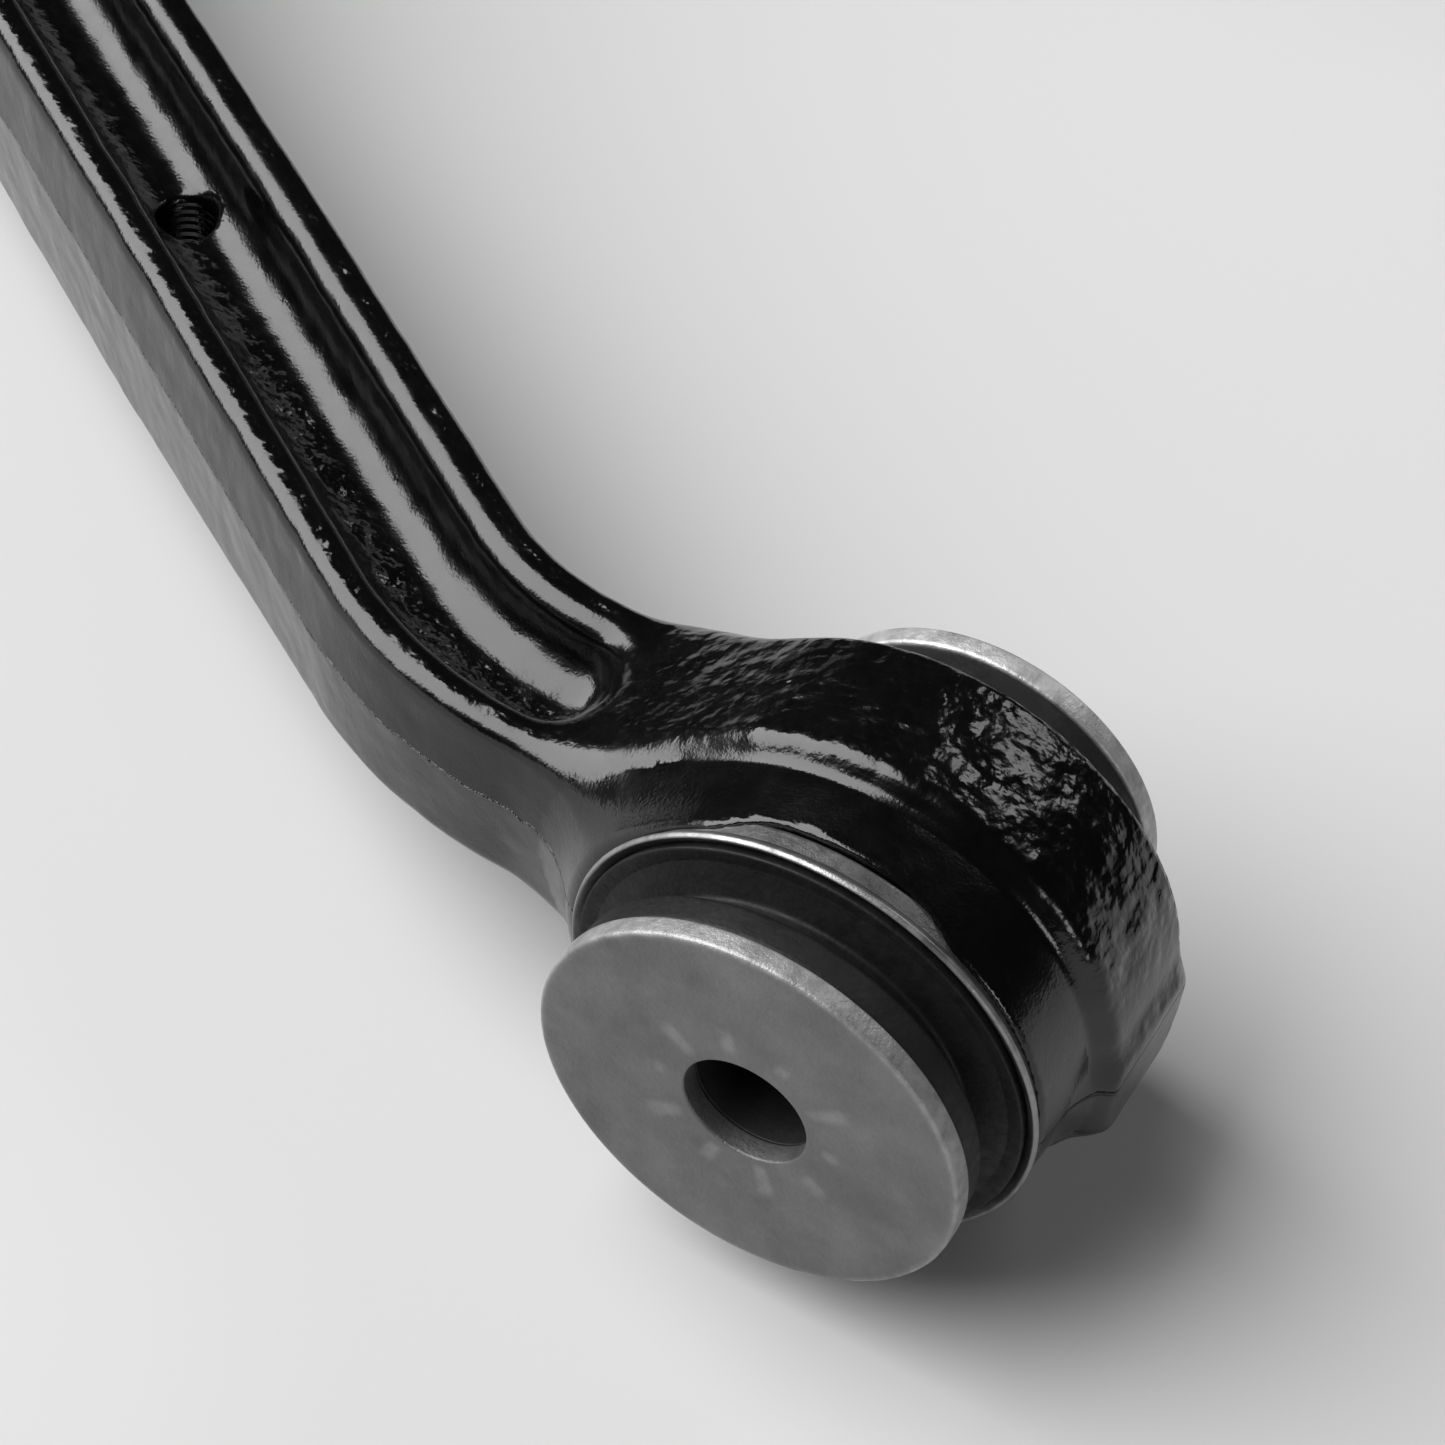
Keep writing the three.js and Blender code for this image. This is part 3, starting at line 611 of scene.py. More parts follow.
def metal(name, dark, light, roughness, metallic, grain=1800.0, depth=0.00006, wear_and_highlight=None):
    """Bare or plated steel with a fine grain, a slow change of tone and, if a wear and highlight colour is
    given, lighter edges that are partly wear and partly painted highlight.
    """
    material, tree, shader = nodes_for(name)
    shader.inputs["Metallic"].default_value = metallic
    colour = colour_mix(tree, full_range(tree, noise(tree, *METAL_TONE)), dark, light)
    if wear_and_highlight:
        # Lighter edges mixed into the colour: partly wear, partly painted highlight.
        patchy = ramp(tree, noise(tree, *METAL_PATCHES), *WEAR_AND_HIGHLIGHT_PATCH_RANGE, LEAST_WEAR_AND_HIGHLIGHT, 1)
        wear_and_highlight_share = math_node(tree, "MULTIPLY", attribute(tree, "wear_and_highlight"), patchy)
        colour = colour_mix(tree, wear_and_highlight_share, colour, wear_and_highlight)
    link(tree, colour, shader.inputs["Base Color"])
    gloss = ramp(tree, noise(tree, *METAL_GLOSS), *NOISE_RANGE, *roughness)
    link(tree, gloss, shader.inputs["Roughness"])
    link(tree, bump(tree, noise(tree, grain, 3, 0.7), depth), shader.inputs["Normal"])
    return material


def rubber():
    material, tree, shader = nodes_for("black_rubber")
    shader.inputs["Specular IOR Level"].default_value = RUBBER_GLOSS
    colour = colour_mix(tree, full_range(tree, noise(tree, *RUBBER_TONE)), *RUBBER_TONES)
    link(tree, colour, shader.inputs["Base Color"])
    gloss = ramp(tree, noise(tree, *RUBBER_SHEEN), *NOISE_RANGE, *RUBBER_ROUGHNESS)
    link(tree, gloss, shader.inputs["Roughness"])
    link(tree, noise_bump(tree, RUBBER_GRAIN, 1.0), shader.inputs["Normal"])
    return material


paint = black_paint()
# The last colour of plate_steel and sleeve_steel is for their lighter edges: partly wear, partly painted
# highlight.
plate_steel = metal("plate_steel", grey(0.1), grey(0.17), (0.42, 0.55), 0.6, 1300.0, 0.00014, grey(0.5))
sleeve_steel = metal("sleeve_steel", grey(0.06), grey(0.2), (0.32, 0.5), 0.85, wear_and_highlight=grey(0.32))
# Near-black steel for the inner sleeve: painted shade inside the bore.
bore_shade_steel = metal("bore_shade_steel", grey(0.012), grey(0.03), (0.5, 0.65), 0.5)
zinc_steel = metal("zinc_steel", (0.30, 0.298, 0.285), (0.44, 0.437, 0.42), (0.28, 0.45), 0.9)
forged_steel = metal("forged_steel", grey(0.045), grey(0.085), (0.38, 0.55), 0.7, 900.0, 0.0001)
spring_steel = metal("spring_steel", (0.05, 0.053, 0.058), (0.1, 0.105, 0.11), (0.3, 0.42), 0.85)
black_rubber = rubber()
polymer = metal("polymer", (0.6, 0.56, 0.45), (0.72, 0.68, 0.57), (0.4, 0.5), 0.0)


# ---------------------------------------------------------------- the forging
# Bands of the leg, in distance across it: where each starts, is full, starts to fade and stops.
RIM_BAND = (8.9, 9.7, 9.9, 11.0)
FLOOR_BAND = (-5.0, -3.6, -0.6, 0.8)
FLOOR_FADES = (85, 150)  # along the leg, to FLOOR_FAR_SHARE of what it is beside the eye
FLOOR_FAR_SHARE = 0.3
LEVEL = (0.6, 0.95)  # how level a surface has to be to count as a rim or the pocket's floor
FACING_TRIM = (0.9, 0.98)
LEG_BEGINS = (1, 12)  # outside the eye's radius
ROUGH = {"least": 0.04, "rim": 0.55, "floor": 0.6, "barrel": 0.3}
WRINKLED = {"least": 0.08, "rim": 0.9, "floor": 1.0, "barrel": 0.75}


def within(value, start, full, fade, stop):
    """Rises from 0 at start to 1 at full, and falls from 1 at fade to 0 at stop."""
    return smooth(value, start, full) * (1 - smooth(value, fade, stop))


def skin_masks(x, s, u, rho, normals):
    """How rough and how wrinkled the skin is: most on the leg's rims, the pocket floor and the barrel."""
    on_leg = smooth(rho - EYE_RADIUS, *LEG_BEGINS)
    flat = smooth(np.abs(normals[:, 2]), *LEVEL)
    rim = within(np.abs(u), *RIM_BAND) * flat
    far_share = FLOOR_FAR_SHARE + (1 - FLOOR_FAR_SHARE) * (1 - smooth(s, *FLOOR_FADES))
    floor = within(u, *FLOOR_BAND) * flat * far_share
    land = smooth(-normals[:, 1], *FACING_TRIM) * (rho < EYE_RADIUS + 3)
    barrel = smooth(x, EYE_RIDGE_X - 0.5, EYE_RIDGE_X + 3) * (1 - land)

    def share(weight):
        leg_part = weight["rim"] * rim + weight["floor"] * floor
        return weight["least"] + on_leg * leg_part + (1 - on_leg) * weight["barrel"] * barrel

    return share(ROUGH), share(WRINKLED)


def thread_masks(s, u, z):
    """The turns of the tapped hole's thread, in radians, and where it shows."""
    hole_r = np.hypot(s - TAPPED_STATION, u)
    turns = np.where(hole_r < TAPPED_RADIUS + 2, z * 2 * math.pi / THREAD_PITCH, 0.0)
    in_hole = 1 - smooth(hole_r, TAPPED_RADIUS + 0.1, TAPPED_RADIUS + 0.6)
    return turns, in_hole * (1 - smooth(z, WEB_TOP - 1.6, WEB_TOP - 0.6))


def parting_height(u, z, rho, normals):
    """Height above the parting line on the forging's outer walls, and far from it elsewhere."""
    outside = (np.abs(u) > 11) | (rho < EYE_RADIUS + 4)
    return np.where(outside & (np.abs(normals[:, 2]) < 0.8), z, NO_PARTING)


def make_forging():
    vertices, quads, normals = forging_surface()
    x, y, z = HALF_SPACING - np.abs(vertices[:, 0]), vertices[:, 1], vertices[:, 2]
    s, u = leg_coordinates(x, y)
    rho = np.hypot(y, z)
    rough, wrinkled = skin_masks(x, s, u, rho, normals)
    turns, threaded = thread_masks(s, u, z)
    masks = {
        "rough_skin": rough,
        "wrinkled_skin": wrinkled,
        "parting_height": parting_height(u, z, rho, normals),
        "thread_turns": turns,
        "threaded": threaded,
    }
    vertices = vertices + np.array([0, PIVOT_Y, PIVOT_Z])
    piece = new_piece("arm", vertices, quads, paint, "arm", ["arm_forging"])
    piece.data.normals_split_custom_set_from_vertices(normals.tolist())
    for name, values in masks.items():
        set_values(piece, name, values)


# ---------------------------------------------------------------- the bushes
# Heights run from the bush's outboard face. Outlines are (radius, height, rounding of that corner).
PLATE = 2.7
PLATE_END = BUSH_LENGTH - PLATE  # where the inboard plate starts
HOLE = 7.3
OUTER_PLATE_RADIUS = 25.0
INNER_PLATE_RADIUS = 21.5
PLATE_CORNER_STEPS = 5
PLATE_RING_STEP = 0.35  # spacing of the rings of vertices on the bitten face
# Share of the outboard plate's outer edge that is painted lighter: partly wear, partly painted highlight.
PLATE_EDGE_WEAR_AND_HIGHLIGHT = 0.55
BITES = 10  # short radial marks that a serrated bolt head leaves round the hole
BITE_START = (9.2, 0.7)  # mean radius and spread
BITE_END = (12.0, 1.4)
BITE_HALF_WIDTH = 0.2  # share of the spacing between bites
BITE_DEPTH = 0.09
BITE_WEAR = 0.22
TOUCH = 0.05  # gap between pieces that meet
INNER_SLEEVE_RADIUS = 11.5
SLEEVE_INSIDE = 23.9
SLEEVE_OUTSIDE = 25.4
SLEEVE_END = 42.6
FLANGE_FACE = 12.2
FLANGE_RADIUS = 28.2
RUBBER_BORE = 11.6
RUBBER_RADIUS = 23.8  # inside the outer sleeve


def plate_outline(radius, bottom):
    top = bottom + PLATE
    corners = [(HOLE, bottom, 0.35), (radius, bottom, 0.55), (radius, top, 0.45), (HOLE, top, 0.3)]
    return rounded(corners, PLATE_CORNER_STEPS)


def turned_on_pivot(side, name, what, outline, material, body, around=160, shaping=None, wear_and_highlight_share=None):
    """One turned piece of a bush; shaping moves its vertices and the last argument gives their shares of
    wear and painted highlight.
    """
    vertices, quads = revolve(outline, around)
    if shaping:
        vertices = shaping(vertices)
    node = f"{name}_{what}"
    placed = along_pivot(vertices, side)
    piece = new_piece(f"{node}_look", placed, quads[:, ::-1], material, body, [node])
    if wear_and_highlight_share:
        set_values(piece, "wear_and_highlight", wear_and_highlight_share(vertices))
    return keep_sharp(piece)


def bites(vertices):
    """How deep each vertex lies in the bites, from 0 to 1."""
    radius = np.hypot(vertices[:, 0], vertices[:, 1])
    turn = np.arctan2(vertices[:, 1], vertices[:, 0]) * BITES / (2 * math.pi)
    number = np.floor(turn)
    stop = BITE_END[0] + BITE_END[1] * np.sin(number * 2.4)
    start = BITE_START[0] + BITE_START[1] * np.sin(number * 4.1)
    beside = smooth(BITE_HALF_WIDTH - np.abs(turn % 1.0 - 0.5), 0, 0.16)
    length = within(radius, start - 0.6, start + 0.6, stop - 0.8, stop + 1.0)
    on_face = vertices[:, 2] < 0.12
    return beside * length * on_face


def bitten(vertices):
    moved = vertices.copy()
    moved[:, 2] += BITE_DEPTH * bites(vertices)
    return moved


def edge_wear_and_highlight(radius, start=0.75, stop=0.1):
    """Wear and painted highlight that grow towards a disc's outer edge, between two distances from it."""
    return lambda vertices: smooth(np.hypot(vertices[:, 0], vertices[:, 1]), radius - start, radius - stop)


# The outboard plate's lighter outer edge, partly wear and partly painted highlight, and the real wear of
# the bites.
def outboard_wear_and_highlight(vertices):
    return np.maximum(PLATE_EDGE_WEAR_AND_HIGHLIGHT * edge_wear_and_highlight(OUTER_PLATE_RADIUS)(vertices), BITE_WEAR * bites(vertices))


def make_plates(side, name):
    core = f"{name}_core"
    outline = plate_outline(OUTER_PLATE_RADIUS, 0)
    rings = [(r, 0) for r in np.arange(HOLE + 0.6, OUTER_PLATE_RADIUS - 0.9, PLATE_RING_STEP)]
    first_corner = PLATE_CORNER_STEPS + 1
    outline = [*outline[:first_corner], *rings, *outline[first_corner:]]
    turned_on_pivot(
        side, name, "outboard_plate", outline, plate_steel, core, 540, bitten, outboard_wear_and_highlight
    )
    outline = plate_outline(INNER_PLATE_RADIUS, PLATE_END)
    # The inboard plate's lighter outer edge is partly wear, partly painted highlight.
    wear_and_highlight_share = edge_wear_and_highlight(INNER_PLATE_RADIUS)
    turned_on_pivot(side, name, "inboard_plate", outline, plate_steel, core, 200, None, wear_and_highlight_share)


def make_sleeves(side, name):
    inner = [
        (HOLE, PLATE + TOUCH, 0.2),
        (INNER_SLEEVE_RADIUS, PLATE + TOUCH),
        (INNER_SLEEVE_RADIUS, PLATE_END - TOUCH),
        (HOLE, PLATE_END - TOUCH, 0.2),
    ]
    core = f"{name}_core"
    # The inner sleeve's near-black steel is painted shade in the bore.
    turned_on_pivot(side, name, "inner_sleeve", rounded(inner), bore_shade_steel, core, 96)
    outer = [
        (SLEEVE_INSIDE, FLANGE_FACE + 0.6, 0.3),
        (26.4, FLANGE_FACE + 0.2, 0.5),
        (FLANGE_RADIUS - 0.3, FLANGE_FACE - 0.9, 0.3),
        (FLANGE_RADIUS, FLANGE_FACE - 0.2, 0.4),
        (27.3, FLANGE_FACE + 0.9, 0.3),
        (27.5, FLANGE_FACE + 3.1, 0.5),
        (SLEEVE_OUTSIDE, FLANGE_FACE + 3.1),
        (SLEEVE_OUTSIDE, SLEEVE_END, 0.4),
        (SLEEVE_INSIDE, SLEEVE_END, 0.4),
    ]
    # The lip's lighter outer edge is partly wear, partly painted highlight.
    wear_and_highlight_share = edge_wear_and_highlight(FLANGE_RADIUS, 0.55, 0.15)
    turned_on_pivot(
        side, name, "outer_sleeve", rounded(outer), sleeve_steel, "arm", 200, None, wear_and_highlight_share
    )


def make_bush(side, name):
    make_plates(side, name)
    make_sleeves(side, name)
    collar = [
        (RUBBER_BORE, PLATE + TOUCH),
        (24.6, PLATE + TOUCH, 0.5),
        (24.4, 6.6, 1.2),
        (21.0, 8.3, 1.0),
        (20.6, 10.2, 0.6),
        (25.0, 11.2, 0.5),
        (26.9, 10.9, 0.3),
        (26.6, 12.2, 0.2),
        (RUBBER_RADIUS, 12.6),
        (RUBBER_RADIUS, 41.2, 0.8),
        (22.2, 43.6, 1.6),
        (21.3, 46.2, 1.5),
        (21.2, PLATE_END - TOUCH, 0.5),
        (RUBBER_BORE, PLATE_END - TOUCH),
    ]
    turned_on_pivot(side, name, "rubber", rounded(collar), black_rubber, "arm")


# ---------------------------------------------------------------- the ball joint
# Heights run from the ball's centre.
BALL_RADIUS = 14.0
NECK_RADIUS = 8.0
CAVITY_RADIUS = 16.6
SKIRT_RADIUS = 25.0
SKIRT_BOTTOM = -31
SKIRT_BORE = 16.6
HOUSING_RADIUS = 21.5
HOUSING_TOP = 21.6
HOUSING_GAP = 0.3  # between the housing and the pieces seated in or against it
RING_GROOVE_RADIUS = 20.1
RING_BORE = 20.4
RING_HALF_MOUTH = 4.5
RING_REACH = 26  # half the width of the grid that the ring is meshed from
RING_CELL = 0.4
HUB = 0.02  # radius of the tiny hole left at the middle of a solid turned piece
COVER_RADIUS = 18.0
COVER_BOTTOM = -28.2
COVER_TOP = -26.4
COVER_DISH = -27.5
RING_BOTTOM = 13.4
RING_TOP = 15.1
BOOT_SEAT_RADIUS = 19.4
BOOT_SEAT = (16.6, 20.2)  # its lowest and highest height
BOOT_SEAM = ((20.6, 25.8), (18.4, 25.0))  # outer and inner edge of the cut at the boot's waist
BOOT_LOWER_TURNS = (20.4, 24.9)  # heights given for the lower length's tilt
BOOT_UPPER_TURNS = (25.9, 28.9)
BOOT_STEP = 0.7  # longest edge of the boot's profile
BOOT_CORNER_STEPS = 6
STUD_TOP = 73.0
TAPER = ((8.8, 34.0), (7.3, 51.0))
THREAD_RADIUS = 6.0
THREAD_DEPTH = 0.6
THREAD_FADES = (TAPER[1][1] + 1.6, TAPER[1][1] + 3.5, STUD_TOP - 1.3, STUD_TOP - 0.8)
NUT_BOTTOM, NUT_HEX_TOP, NUT_TOP = 55.6, 64.0, 69.0
NUT_FLAT = 9.5  # from the axis to a flat
NUT_CROWN_RADIUS = 8.4
NUT_SLOT_WIDTH = 3.8
NUT_CHAMFER_SLOPE = 1.7
NUT_REACH = 12
NUT_CELL = 0.3
COTTER_Z = 66.4
COTTER_RADIUS = 1.5
COTTER_EYE_X = 13.4
COTTER_EYE_RADIUS = 2.15
COTTER_EYE_WIRE = 1.05
COTTER_BEND_X = -11.2
COTTER_LEG_HEIGHT = 5.0


def circle_points(centre, radius, start, stop, steps):
    """Points on an arc about (radius, height); angles are in degrees from level."""
    angles = np.radians(np.linspace(start, stop, steps + 1))
    return [(centre[0] + radius * math.cos(a), centre[1] + radius * math.sin(a)) for a in angles]


def refined(outline, step):
    """The closed outline with points added, so that none are further apart than a step."""
    points = []
    for here, after in zip(outline, [*outline[1:], outline[0]]):
        count = max(1, math.ceil(math.dist(here, after) / step))
        points += [tuple(np.array(here) + (np.array(after) - here) * k / count) for k in range(count)]
    return points


def at_ball(vertices):
    return vertices + np.array([0, BALL_Y, PIVOT_Z])


def turned_at_ball(name, outline, material, body, replaced, around=128):
    vertices, quads = revolve(outline, around)
    piece = new_piece(name, at_ball(vertices), quads, material, body, [replaced])
    return keep_sharp(piece, 50)


def field_at_ball(node, field, low, high, cell, material, body):
    """A small piece meshed from its own signed distance."""
    axes = [np.arange(low[i], high[i] + cell, cell) for i in range(3)]
    grid = np.stack(np.meshgrid(*axes, indexing="ij"), axis=-1)
    value = field(grid.reshape(-1, 3)).reshape(grid.shape[:3]).astype(np.float32)
    vertices, quads, normals = settled(field, value, np.array(low, float), cell)
    piece = new_piece(f"{node}_look", at_ball(vertices), quads, material, body, [node])
    piece.data.normals_split_custom_set_from_vertices(normals.tolist())


def make_housing():
    throat = circle_points((0, 0), CAVITY_RADIUS, 37, 0, 12)
    outline = rounded(
        [
            (SKIRT_BORE, SKIRT_BOTTOM, 0.5),
            (22.6, SKIRT_BOTTOM, 2.2),
            (SKIRT_RADIUS, -27.6, 1.6),
            (SKIRT_RADIUS, -23.6, 0.3),
            (SKIRT_RADIUS - 0.6, -23.2, 0.3),
            (SKIRT_RADIUS - 0.6, -22.4, 0.3),
            (SKIRT_RADIUS, -22.0, 0.3),
            (SKIRT_RADIUS, BOSS_BOTTOM - HOUSING_GAP, 0.5),
            (HOUSING_RADIUS, BOSS_BOTTOM - HOUSING_GAP),
            (HOUSING_RADIUS, RING_BOTTOM - 0.1, 0.3),
            (RING_GROOVE_RADIUS, RING_BOTTOM - 0.1),
            (RING_GROOVE_RADIUS, RING_TOP + HOUSING_GAP),
            (BOOT_SEAT_RADIUS + 1, RING_TOP + HOUSING_GAP, 0.2),
            (BOOT_SEAT_RADIUS + 1, BOOT_SEAT[0], 0.2),
            (BOOT_SEAT_RADIUS, BOOT_SEAT[0]),
            (BOOT_SEAT_RADIUS, BOOT_SEAT[1]),
            (BOOT_SEAT_RADIUS + 0.8, BOOT_SEAT[1] + 0.4, 0.2),
            (BOOT_SEAT_RADIUS + 0.8, HOUSING_TOP, 0.4),
            (17.9, HOUSING_TOP, 0.4),
            *throat,
            (CAVITY_RADIUS, COVER_TOP + HOUSING_GAP),
            (COVER_RADIUS + HOUSING_GAP, COVER_TOP + HOUSING_GAP),
            (COVER_RADIUS + HOUSING_GAP, COVER_BOTTOM - HOUSING_GAP),
            (SKIRT_BORE, COVER_BOTTOM - HOUSING_GAP, 0.3),
        ]
    )
    turned_at_ball(
        "ball_joint_housing_look", outline, forged_steel, "arm", "ball_joint_housing", 160
    )


def make_cover():
    """The pressed cover under the ball, dished in the middle."""
    outline = rounded(
        [
            (HUB, COVER_DISH),
            (8.5, COVER_DISH, 1.5),
            (10.4, COVER_BOTTOM, 1.5),
            (COVER_RADIUS, COVER_BOTTOM, 0.4),
            (COVER_RADIUS, COVER_TOP, 0.4),
            (HUB, COVER_TOP),
        ]
    )
    turned_at_ball("ball_joint_cover_look", outline, zinc_steel, "arm", "ball_joint_cover")


def retaining_ring_field(points):
    """A flat ring with a mouth on its far side."""
    x, y, z = points[:, 0], points[:, 1], points[:, 2]
    radius = np.hypot(x, y)
    flat = np.maximum(z - RING_TOP, RING_BOTTOM - z)
    ring = intersect_round(np.maximum(radius - SKIRT_RADIUS, RING_BORE - radius), flat, 0.35)
    mouth = np.where(y > 0, RING_HALF_MOUTH - np.abs(x), -2 * RING_HALF_MOUTH)
    return intersect_round(ring, mouth, 0.35)


def make_stud():
    """The ball, its neck and taper, and a real helical thread."""
    neck_angle = math.degrees(math.acos(NECK_RADIUS / BALL_RADIUS))
    ball = circle_points((0, 0), BALL_RADIUS, -89.9, neck_angle, 28)
    shank = rounded(
        [
            (NECK_RADIUS, TAPER[0][1] - 1, 0.8),
            (*TAPER[0], 0.6),
            (*TAPER[1], 0.4),
            (THREAD_RADIUS, TAPER[1][1] + 1, 0.3),
            (THREAD_RADIUS, STUD_TOP - 1, 0.3),
            (THREAD_RADIUS - 1, STUD_TOP, 0.3),
            (HUB, STUD_TOP),
            (HUB, -BALL_RADIUS),
        ]
    )
    outline = [*ball, *shank]
    vertices, quads = revolve(refined(outline, 0.16), 72)
    radius = np.hypot(vertices[:, 0], vertices[:, 1])
    turn = np.arctan2(vertices[:, 1], vertices[:, 0]) / (2 * math.pi)
    height = vertices[:, 2]
    fade = within(height, *THREAD_FADES)
    valley = 1 - 2 * np.abs((height / THREAD_PITCH - turn) % 1.0 - 0.5)
    cut = THREAD_DEPTH * smooth(valley, 0.1, 0.9) * fade * (radius > THREAD_RADIUS - 0.4)
    vertices[:, :2] *= ((radius - cut) / np.maximum(radius, 1e-6))[:, None]
    piece = new_piece(
        "ball_stud_look", at_ball(vertices), quads, forged_steel, "stud", ["ball_stud"]
    )
    keep_sharp(piece, 60)


def castle_nut_field(points):
    """A hexagon nut with chamfered corners and a slotted crown."""
    x, y, z = points[:, 0], points[:, 1], points[:, 2]
    radius = np.hypot(x, y)
    hexagon = np.full(len(points), -99.0)
    slots = np.full(len(points), 99.0)
    for turn in range(3):
        angle = turn * math.pi / 3
        flat_angle = angle + math.pi / 6
        to_flat = np.abs(x * math.cos(flat_angle) + y * math.sin(flat_angle))
        hexagon = np.maximum(hexagon, to_flat)
        slots = np.minimum(slots, np.abs(y * math.cos(angle) - x * math.sin(angle)))
    middle, half = (NUT_BOTTOM + NUT_HEX_TOP) / 2, (NUT_HEX_TOP - NUT_BOTTOM) / 2
    beyond = np.abs(z - middle) - half
    body = intersect_round(hexagon - NUT_FLAT, beyond, 0.25)
    chamfer = (radius - (NUT_FLAT + 0.35) + beyond * NUT_CHAMFER_SLOPE) * 0.5
    body = intersect_round(body, chamfer, 0.2)
    crown = intersect_round(radius - NUT_CROWN_RADIUS, np.maximum(z - NUT_TOP, NUT_BOTTOM + 1 - z), 0.4)
    nut = union_round(body, crown, 0.5)
    slot = np.maximum(slots - NUT_SLOT_WIDTH / 2, NUT_HEX_TOP + 0.4 - z)
    nut = intersect_round(nut, -slot, 0.25)
    return intersect_round(nut, THREAD_RADIUS + 0.3 - radius, 0.4)


def cotter_pin_field(points):
    """A split pin: an eye at one end, its other end bent up."""
    x, y, z = points[:, 0], points[:, 1], points[:, 2] - COTTER_Z
    past_ends = np.maximum(np.maximum(COTTER_BEND_X - x, x - (COTTER_EYE_X - 2.6)), 0)
    along = np.hypot(past_ends, np.hypot(y, z))
    above_leg = np.maximum(np.maximum(-z, z - COTTER_LEG_HEIGHT), 0)
    upright = np.hypot(np.hypot(x - COTTER_BEND_X, y), above_leg)
    shank = union_round(along - COTTER_RADIUS, upright - COTTER_RADIUS, 2.0)
    loop = np.hypot(np.hypot(x - COTTER_EYE_X, z) - COTTER_EYE_RADIUS, y) - COTTER_EYE_WIRE
    return union_round(shank, loop, 0.5)


def make_boot():
    """The dust boot in two lengths that meet at a seam."""
    lower = rounded(
        [
            (19.7, 16.9, 0.3),
            (22.0, 16.9, 0.6),
            (22.0, 19.8, 0.8),
            (25.4, 22.3, 0.9),
            (25.4, 24.2, 0.9),
            *BOOT_SEAM,
            (23.6, 23.3, 0.4),
            (20.6, 21.7, 0.3),
            (20.6, 20.3),
            (19.7, 19.8),
        ],
        BOOT_CORNER_STEPS,
    )
    upper = rounded(
        [
            (8.3, 29.0, 0.3),
            (17.4, 28.2, 0.5),
            (18.9, 27.0, 0.5),
            *BOOT_SEAM[::-1],
            (21.2, 28.0, 0.9),
            (18.4, 29.6, 1.2),
            (11.9, 30.1, 0.5),
            (11.9, 32.4, 0.6),
            (8.3, 32.4, 0.3),
        ],
        BOOT_CORNER_STEPS,
    )
    for what, outline, bodies, turning in (
        ("lower", lower, ("arm", "bearing"), BOOT_LOWER_TURNS),
        ("upper", upper, ("bearing", "stud_tilt"), BOOT_UPPER_TURNS),
    ):
        vertices, quads = revolve(refined(outline, BOOT_STEP), 144)
        piece = new_piece(
            f"dust_boot_{what}", at_ball(vertices), quads, black_rubber, None, ["dust_boot"]
        )
        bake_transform(piece)
        keep_sharp(piece, 60)


def wire_ring(name, radius, wire, height, body):
    outline = circle_points((radius, height), wire, 0, 345, 23)
    turned_at_ball(f"{name}_look", outline, spring_steel, body, name)


def make_retaining_ring():
    low = (-RING_REACH, -RING_REACH, RING_BOTTOM - 1)
    high = (RING_REACH, RING_REACH, RING_TOP + 1)
    node = "ball_joint_retaining_ring"
    field_at_ball(node, retaining_ring_field, low, high, RING_CELL, spring_steel, "arm")


def make_nut_and_pin():
    low = (-NUT_REACH, -NUT_REACH, NUT_BOTTOM - 1)
    high = (NUT_REACH, NUT_REACH, NUT_TOP + 1)
    field_at_ball("castle_nut", castle_nut_field, low, high, NUT_CELL, zinc_steel, "stud")
    low = (-14, -4, COTTER_Z - 5)
    high = (18, 4, COTTER_Z + 9)
    field_at_ball("cotter_pin", cotter_pin_field, low, high, NUT_CELL, zinc_steel, "stud")


def make_ball_joint():
    make_housing()
    make_cover()
    make_retaining_ring()
    make_stud()
    make_nut_and_pin()
    make_boot()
    wire_ring("boot_lower_ring", radius=23.0, wire=0.7, height=18.4, body="arm")
    wire_ring("boot_upper_ring", radius=12.9, wire=0.6, height=31.3, body="stud_tilt")


# ---------------------------------------------------------------- stage, camera and lights
FLOOR_HALF_SIZE = 18.0  # large enough that a low view doesn't see past it
FLOOR_ROUGHNESS = 0.9
FLOOR_GLOSS = 0.1
SENSOR_WIDTH = 36
LENS = 99.65
CAMERA_FROM_EYE = Vector((-245.8, -88.2, 344.1)) * MM
CAMERA_RIGHT = Vector((0.4998, -0.8614, 0.0905))
CAMERA_FORWARD = Vector((0.5864, 0.2596, -0.7673))
WORLD_STRENGTH = 0.025
LAMP_DISTANCE = 3.0
LAMPS = (  # name, direction from the near eye, half width and half height in degrees, radiance
    ("key_softbox", (-0.27, 0.67, 0.69), 31, 30, 6.3),
    ("right_softbox", (-0.4, -0.88, 0.26), 8, 8, 4.5),
    ("top_softbox", (0.74, -0.24, 0.6), 8, 13, 3.6),
)
near_eye = Vector((BUSH_X, PIVOT_Y, PIVOT_Z)) * MM


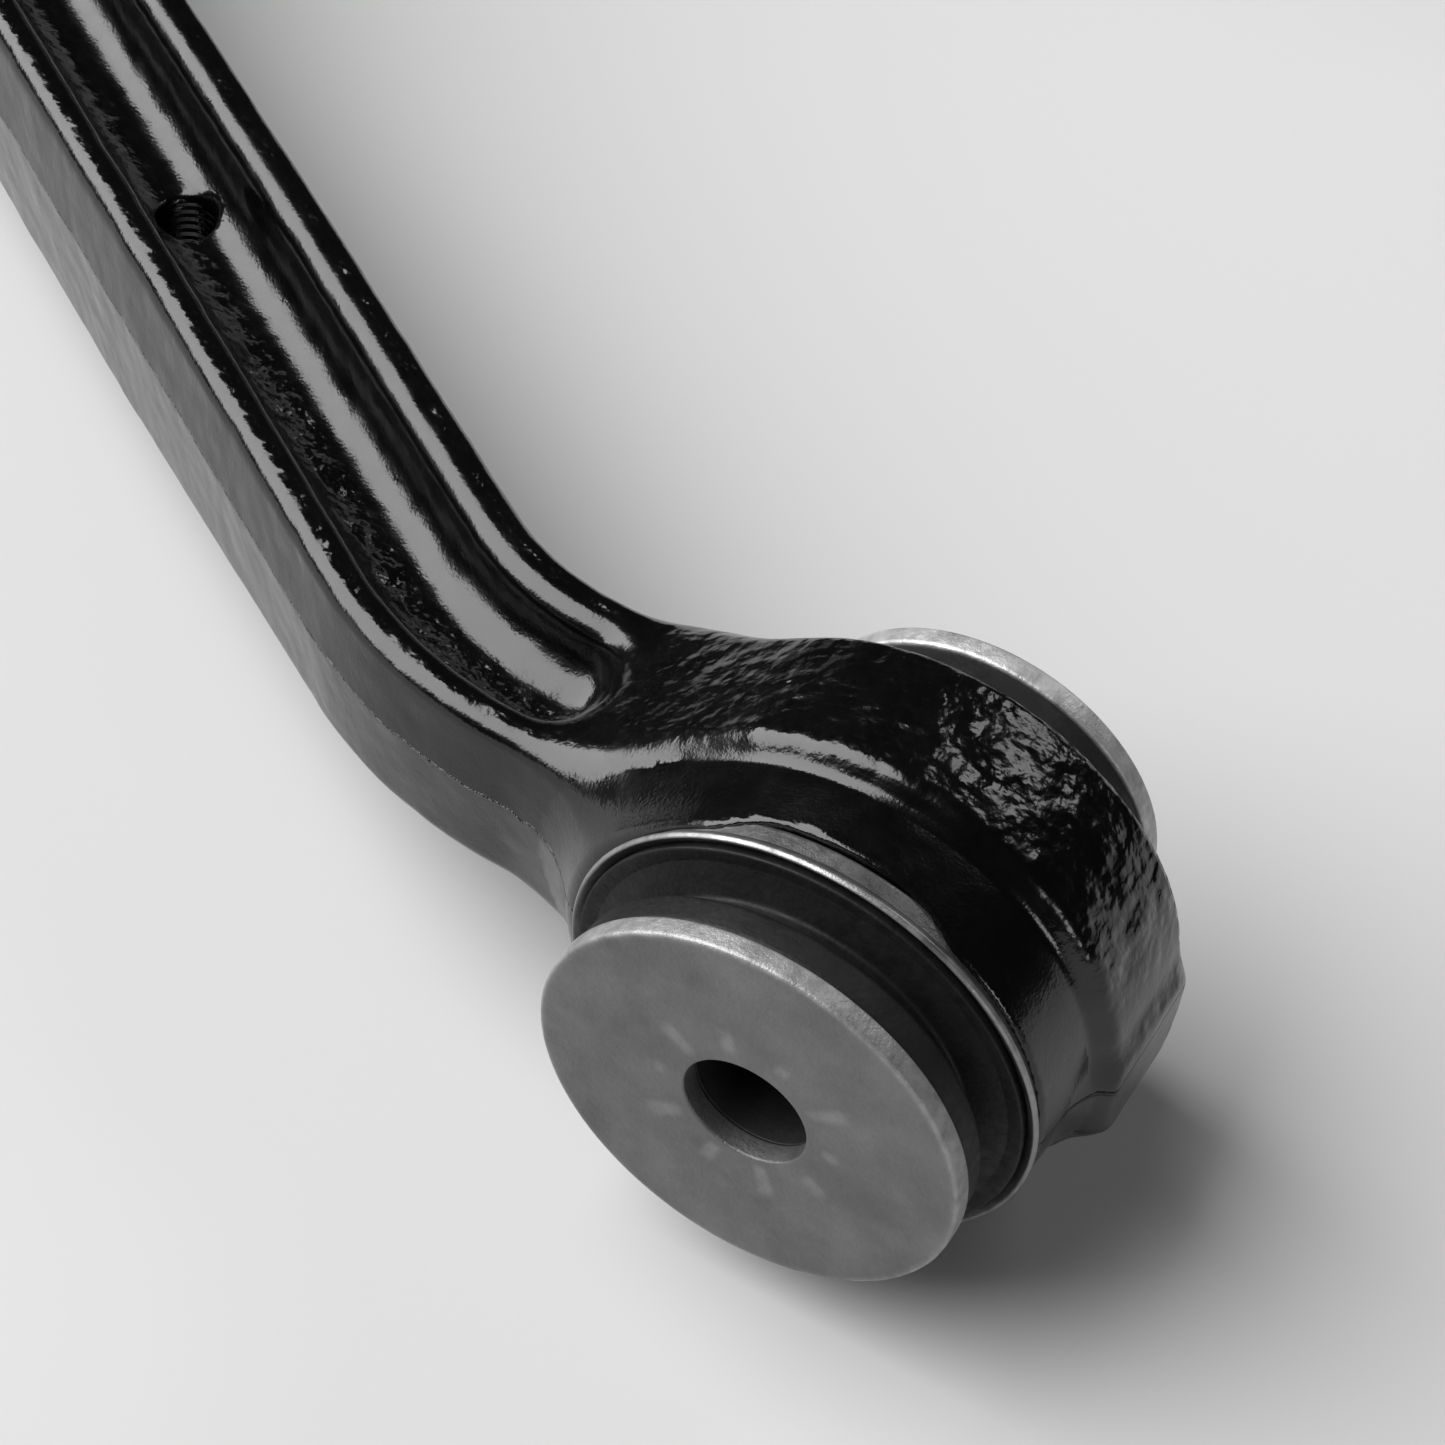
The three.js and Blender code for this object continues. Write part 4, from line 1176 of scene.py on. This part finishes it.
def make_floor():
    """A plain pale matt floor."""
    material, tree, shader = nodes_for("studio_floor")
    shader.inputs["Roughness"].default_value = FLOOR_ROUGHNESS
    shader.inputs["Specular IOR Level"].default_value = FLOOR_GLOSS
    tone = noise(tree, 3.0, 2)
    link(tree, colour_mix(tree, tone, grey(0.52), grey(0.54)), shader.inputs["Base Color"])
    size = FLOOR_HALF_SIZE
    mesh = bpy.data.meshes.new("floor")
    corners = [(-size, -size, 0), (size, -size, 0), (size, size, 0), (-size, size, 0)]
    mesh.from_pydata(corners, [], [(0, 1, 2, 3)])
    mesh.materials.append(material)
    floor = bpy.data.objects.new("floor", mesh)
    bpy.context.scene.collection.objects.link(floor)


def make_camera():
    data = bpy.data.cameras.new("camera")
    data.sensor_width = SENSOR_WIDTH
    data.lens = LENS
    data.clip_start = 0.01
    camera = bpy.data.objects.new("camera", data)
    bpy.context.scene.collection.objects.link(camera)
    forward = CAMERA_FORWARD.normalized()
    right = (CAMERA_RIGHT - forward * CAMERA_RIGHT.dot(forward)).normalized()
    up = right.cross(forward)
    turn = Matrix((right, up, -forward)).transposed().to_4x4()
    camera.matrix_world = Matrix.Translation(near_eye + CAMERA_FROM_EYE) @ turn
    bpy.context.scene.camera = camera


def softbox(name, direction, half_width, half_height, radiance):
    """An area light that faces the near eye, level across X; its half sizes are in degrees."""
    away = Vector(direction).normalized()
    across = (Vector((1, 0, 0)) - away * away.x).normalized()
    data = bpy.data.lights.new(name, "AREA")
    data.shape = "RECTANGLE"
    data.size = 2 * LAMP_DISTANCE * math.tan(math.radians(half_width))
    data.size_y = 2 * LAMP_DISTANCE * math.tan(math.radians(half_height))
    data.energy = radiance * math.pi * data.size * data.size_y
    light = bpy.data.objects.new(name, data)
    bpy.context.scene.collection.objects.link(light)
    turn = Matrix((across, away.cross(across), away)).transposed().to_4x4()
    light.matrix_world = Matrix.Translation(near_eye + away * LAMP_DISTANCE) @ turn


def make_studio():
    world = bpy.data.worlds.new("studio")
    world.use_nodes = True
    background = world.node_tree.nodes["Background"]
    background.inputs["Strength"].default_value = WORLD_STRENGTH
    background.inputs["Color"].default_value = (1, 1, 1, 1)
    bpy.context.scene.world = world
    for lamp in LAMPS:
        softbox(*lamp)


make_camera()
make_floor()
make_studio()
make_forging()
for bush_side, bush_name in ((1, "front_bush"), (-1, "rear_bush")):
    make_bush(bush_side, bush_name)

make_ball_joint()
for node, material in {
    "ball_joint_bearing": polymer,
    "ball_joint_pressure_seat": polymer,
    "ball_joint_preload_washer": spring_steel,
}.items():
    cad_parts[node].data.materials.clear()
    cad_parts[node].data.materials.append(material)

bpy.context.scene.view_settings.view_transform = "Standard"
bpy.context.view_layer.update()
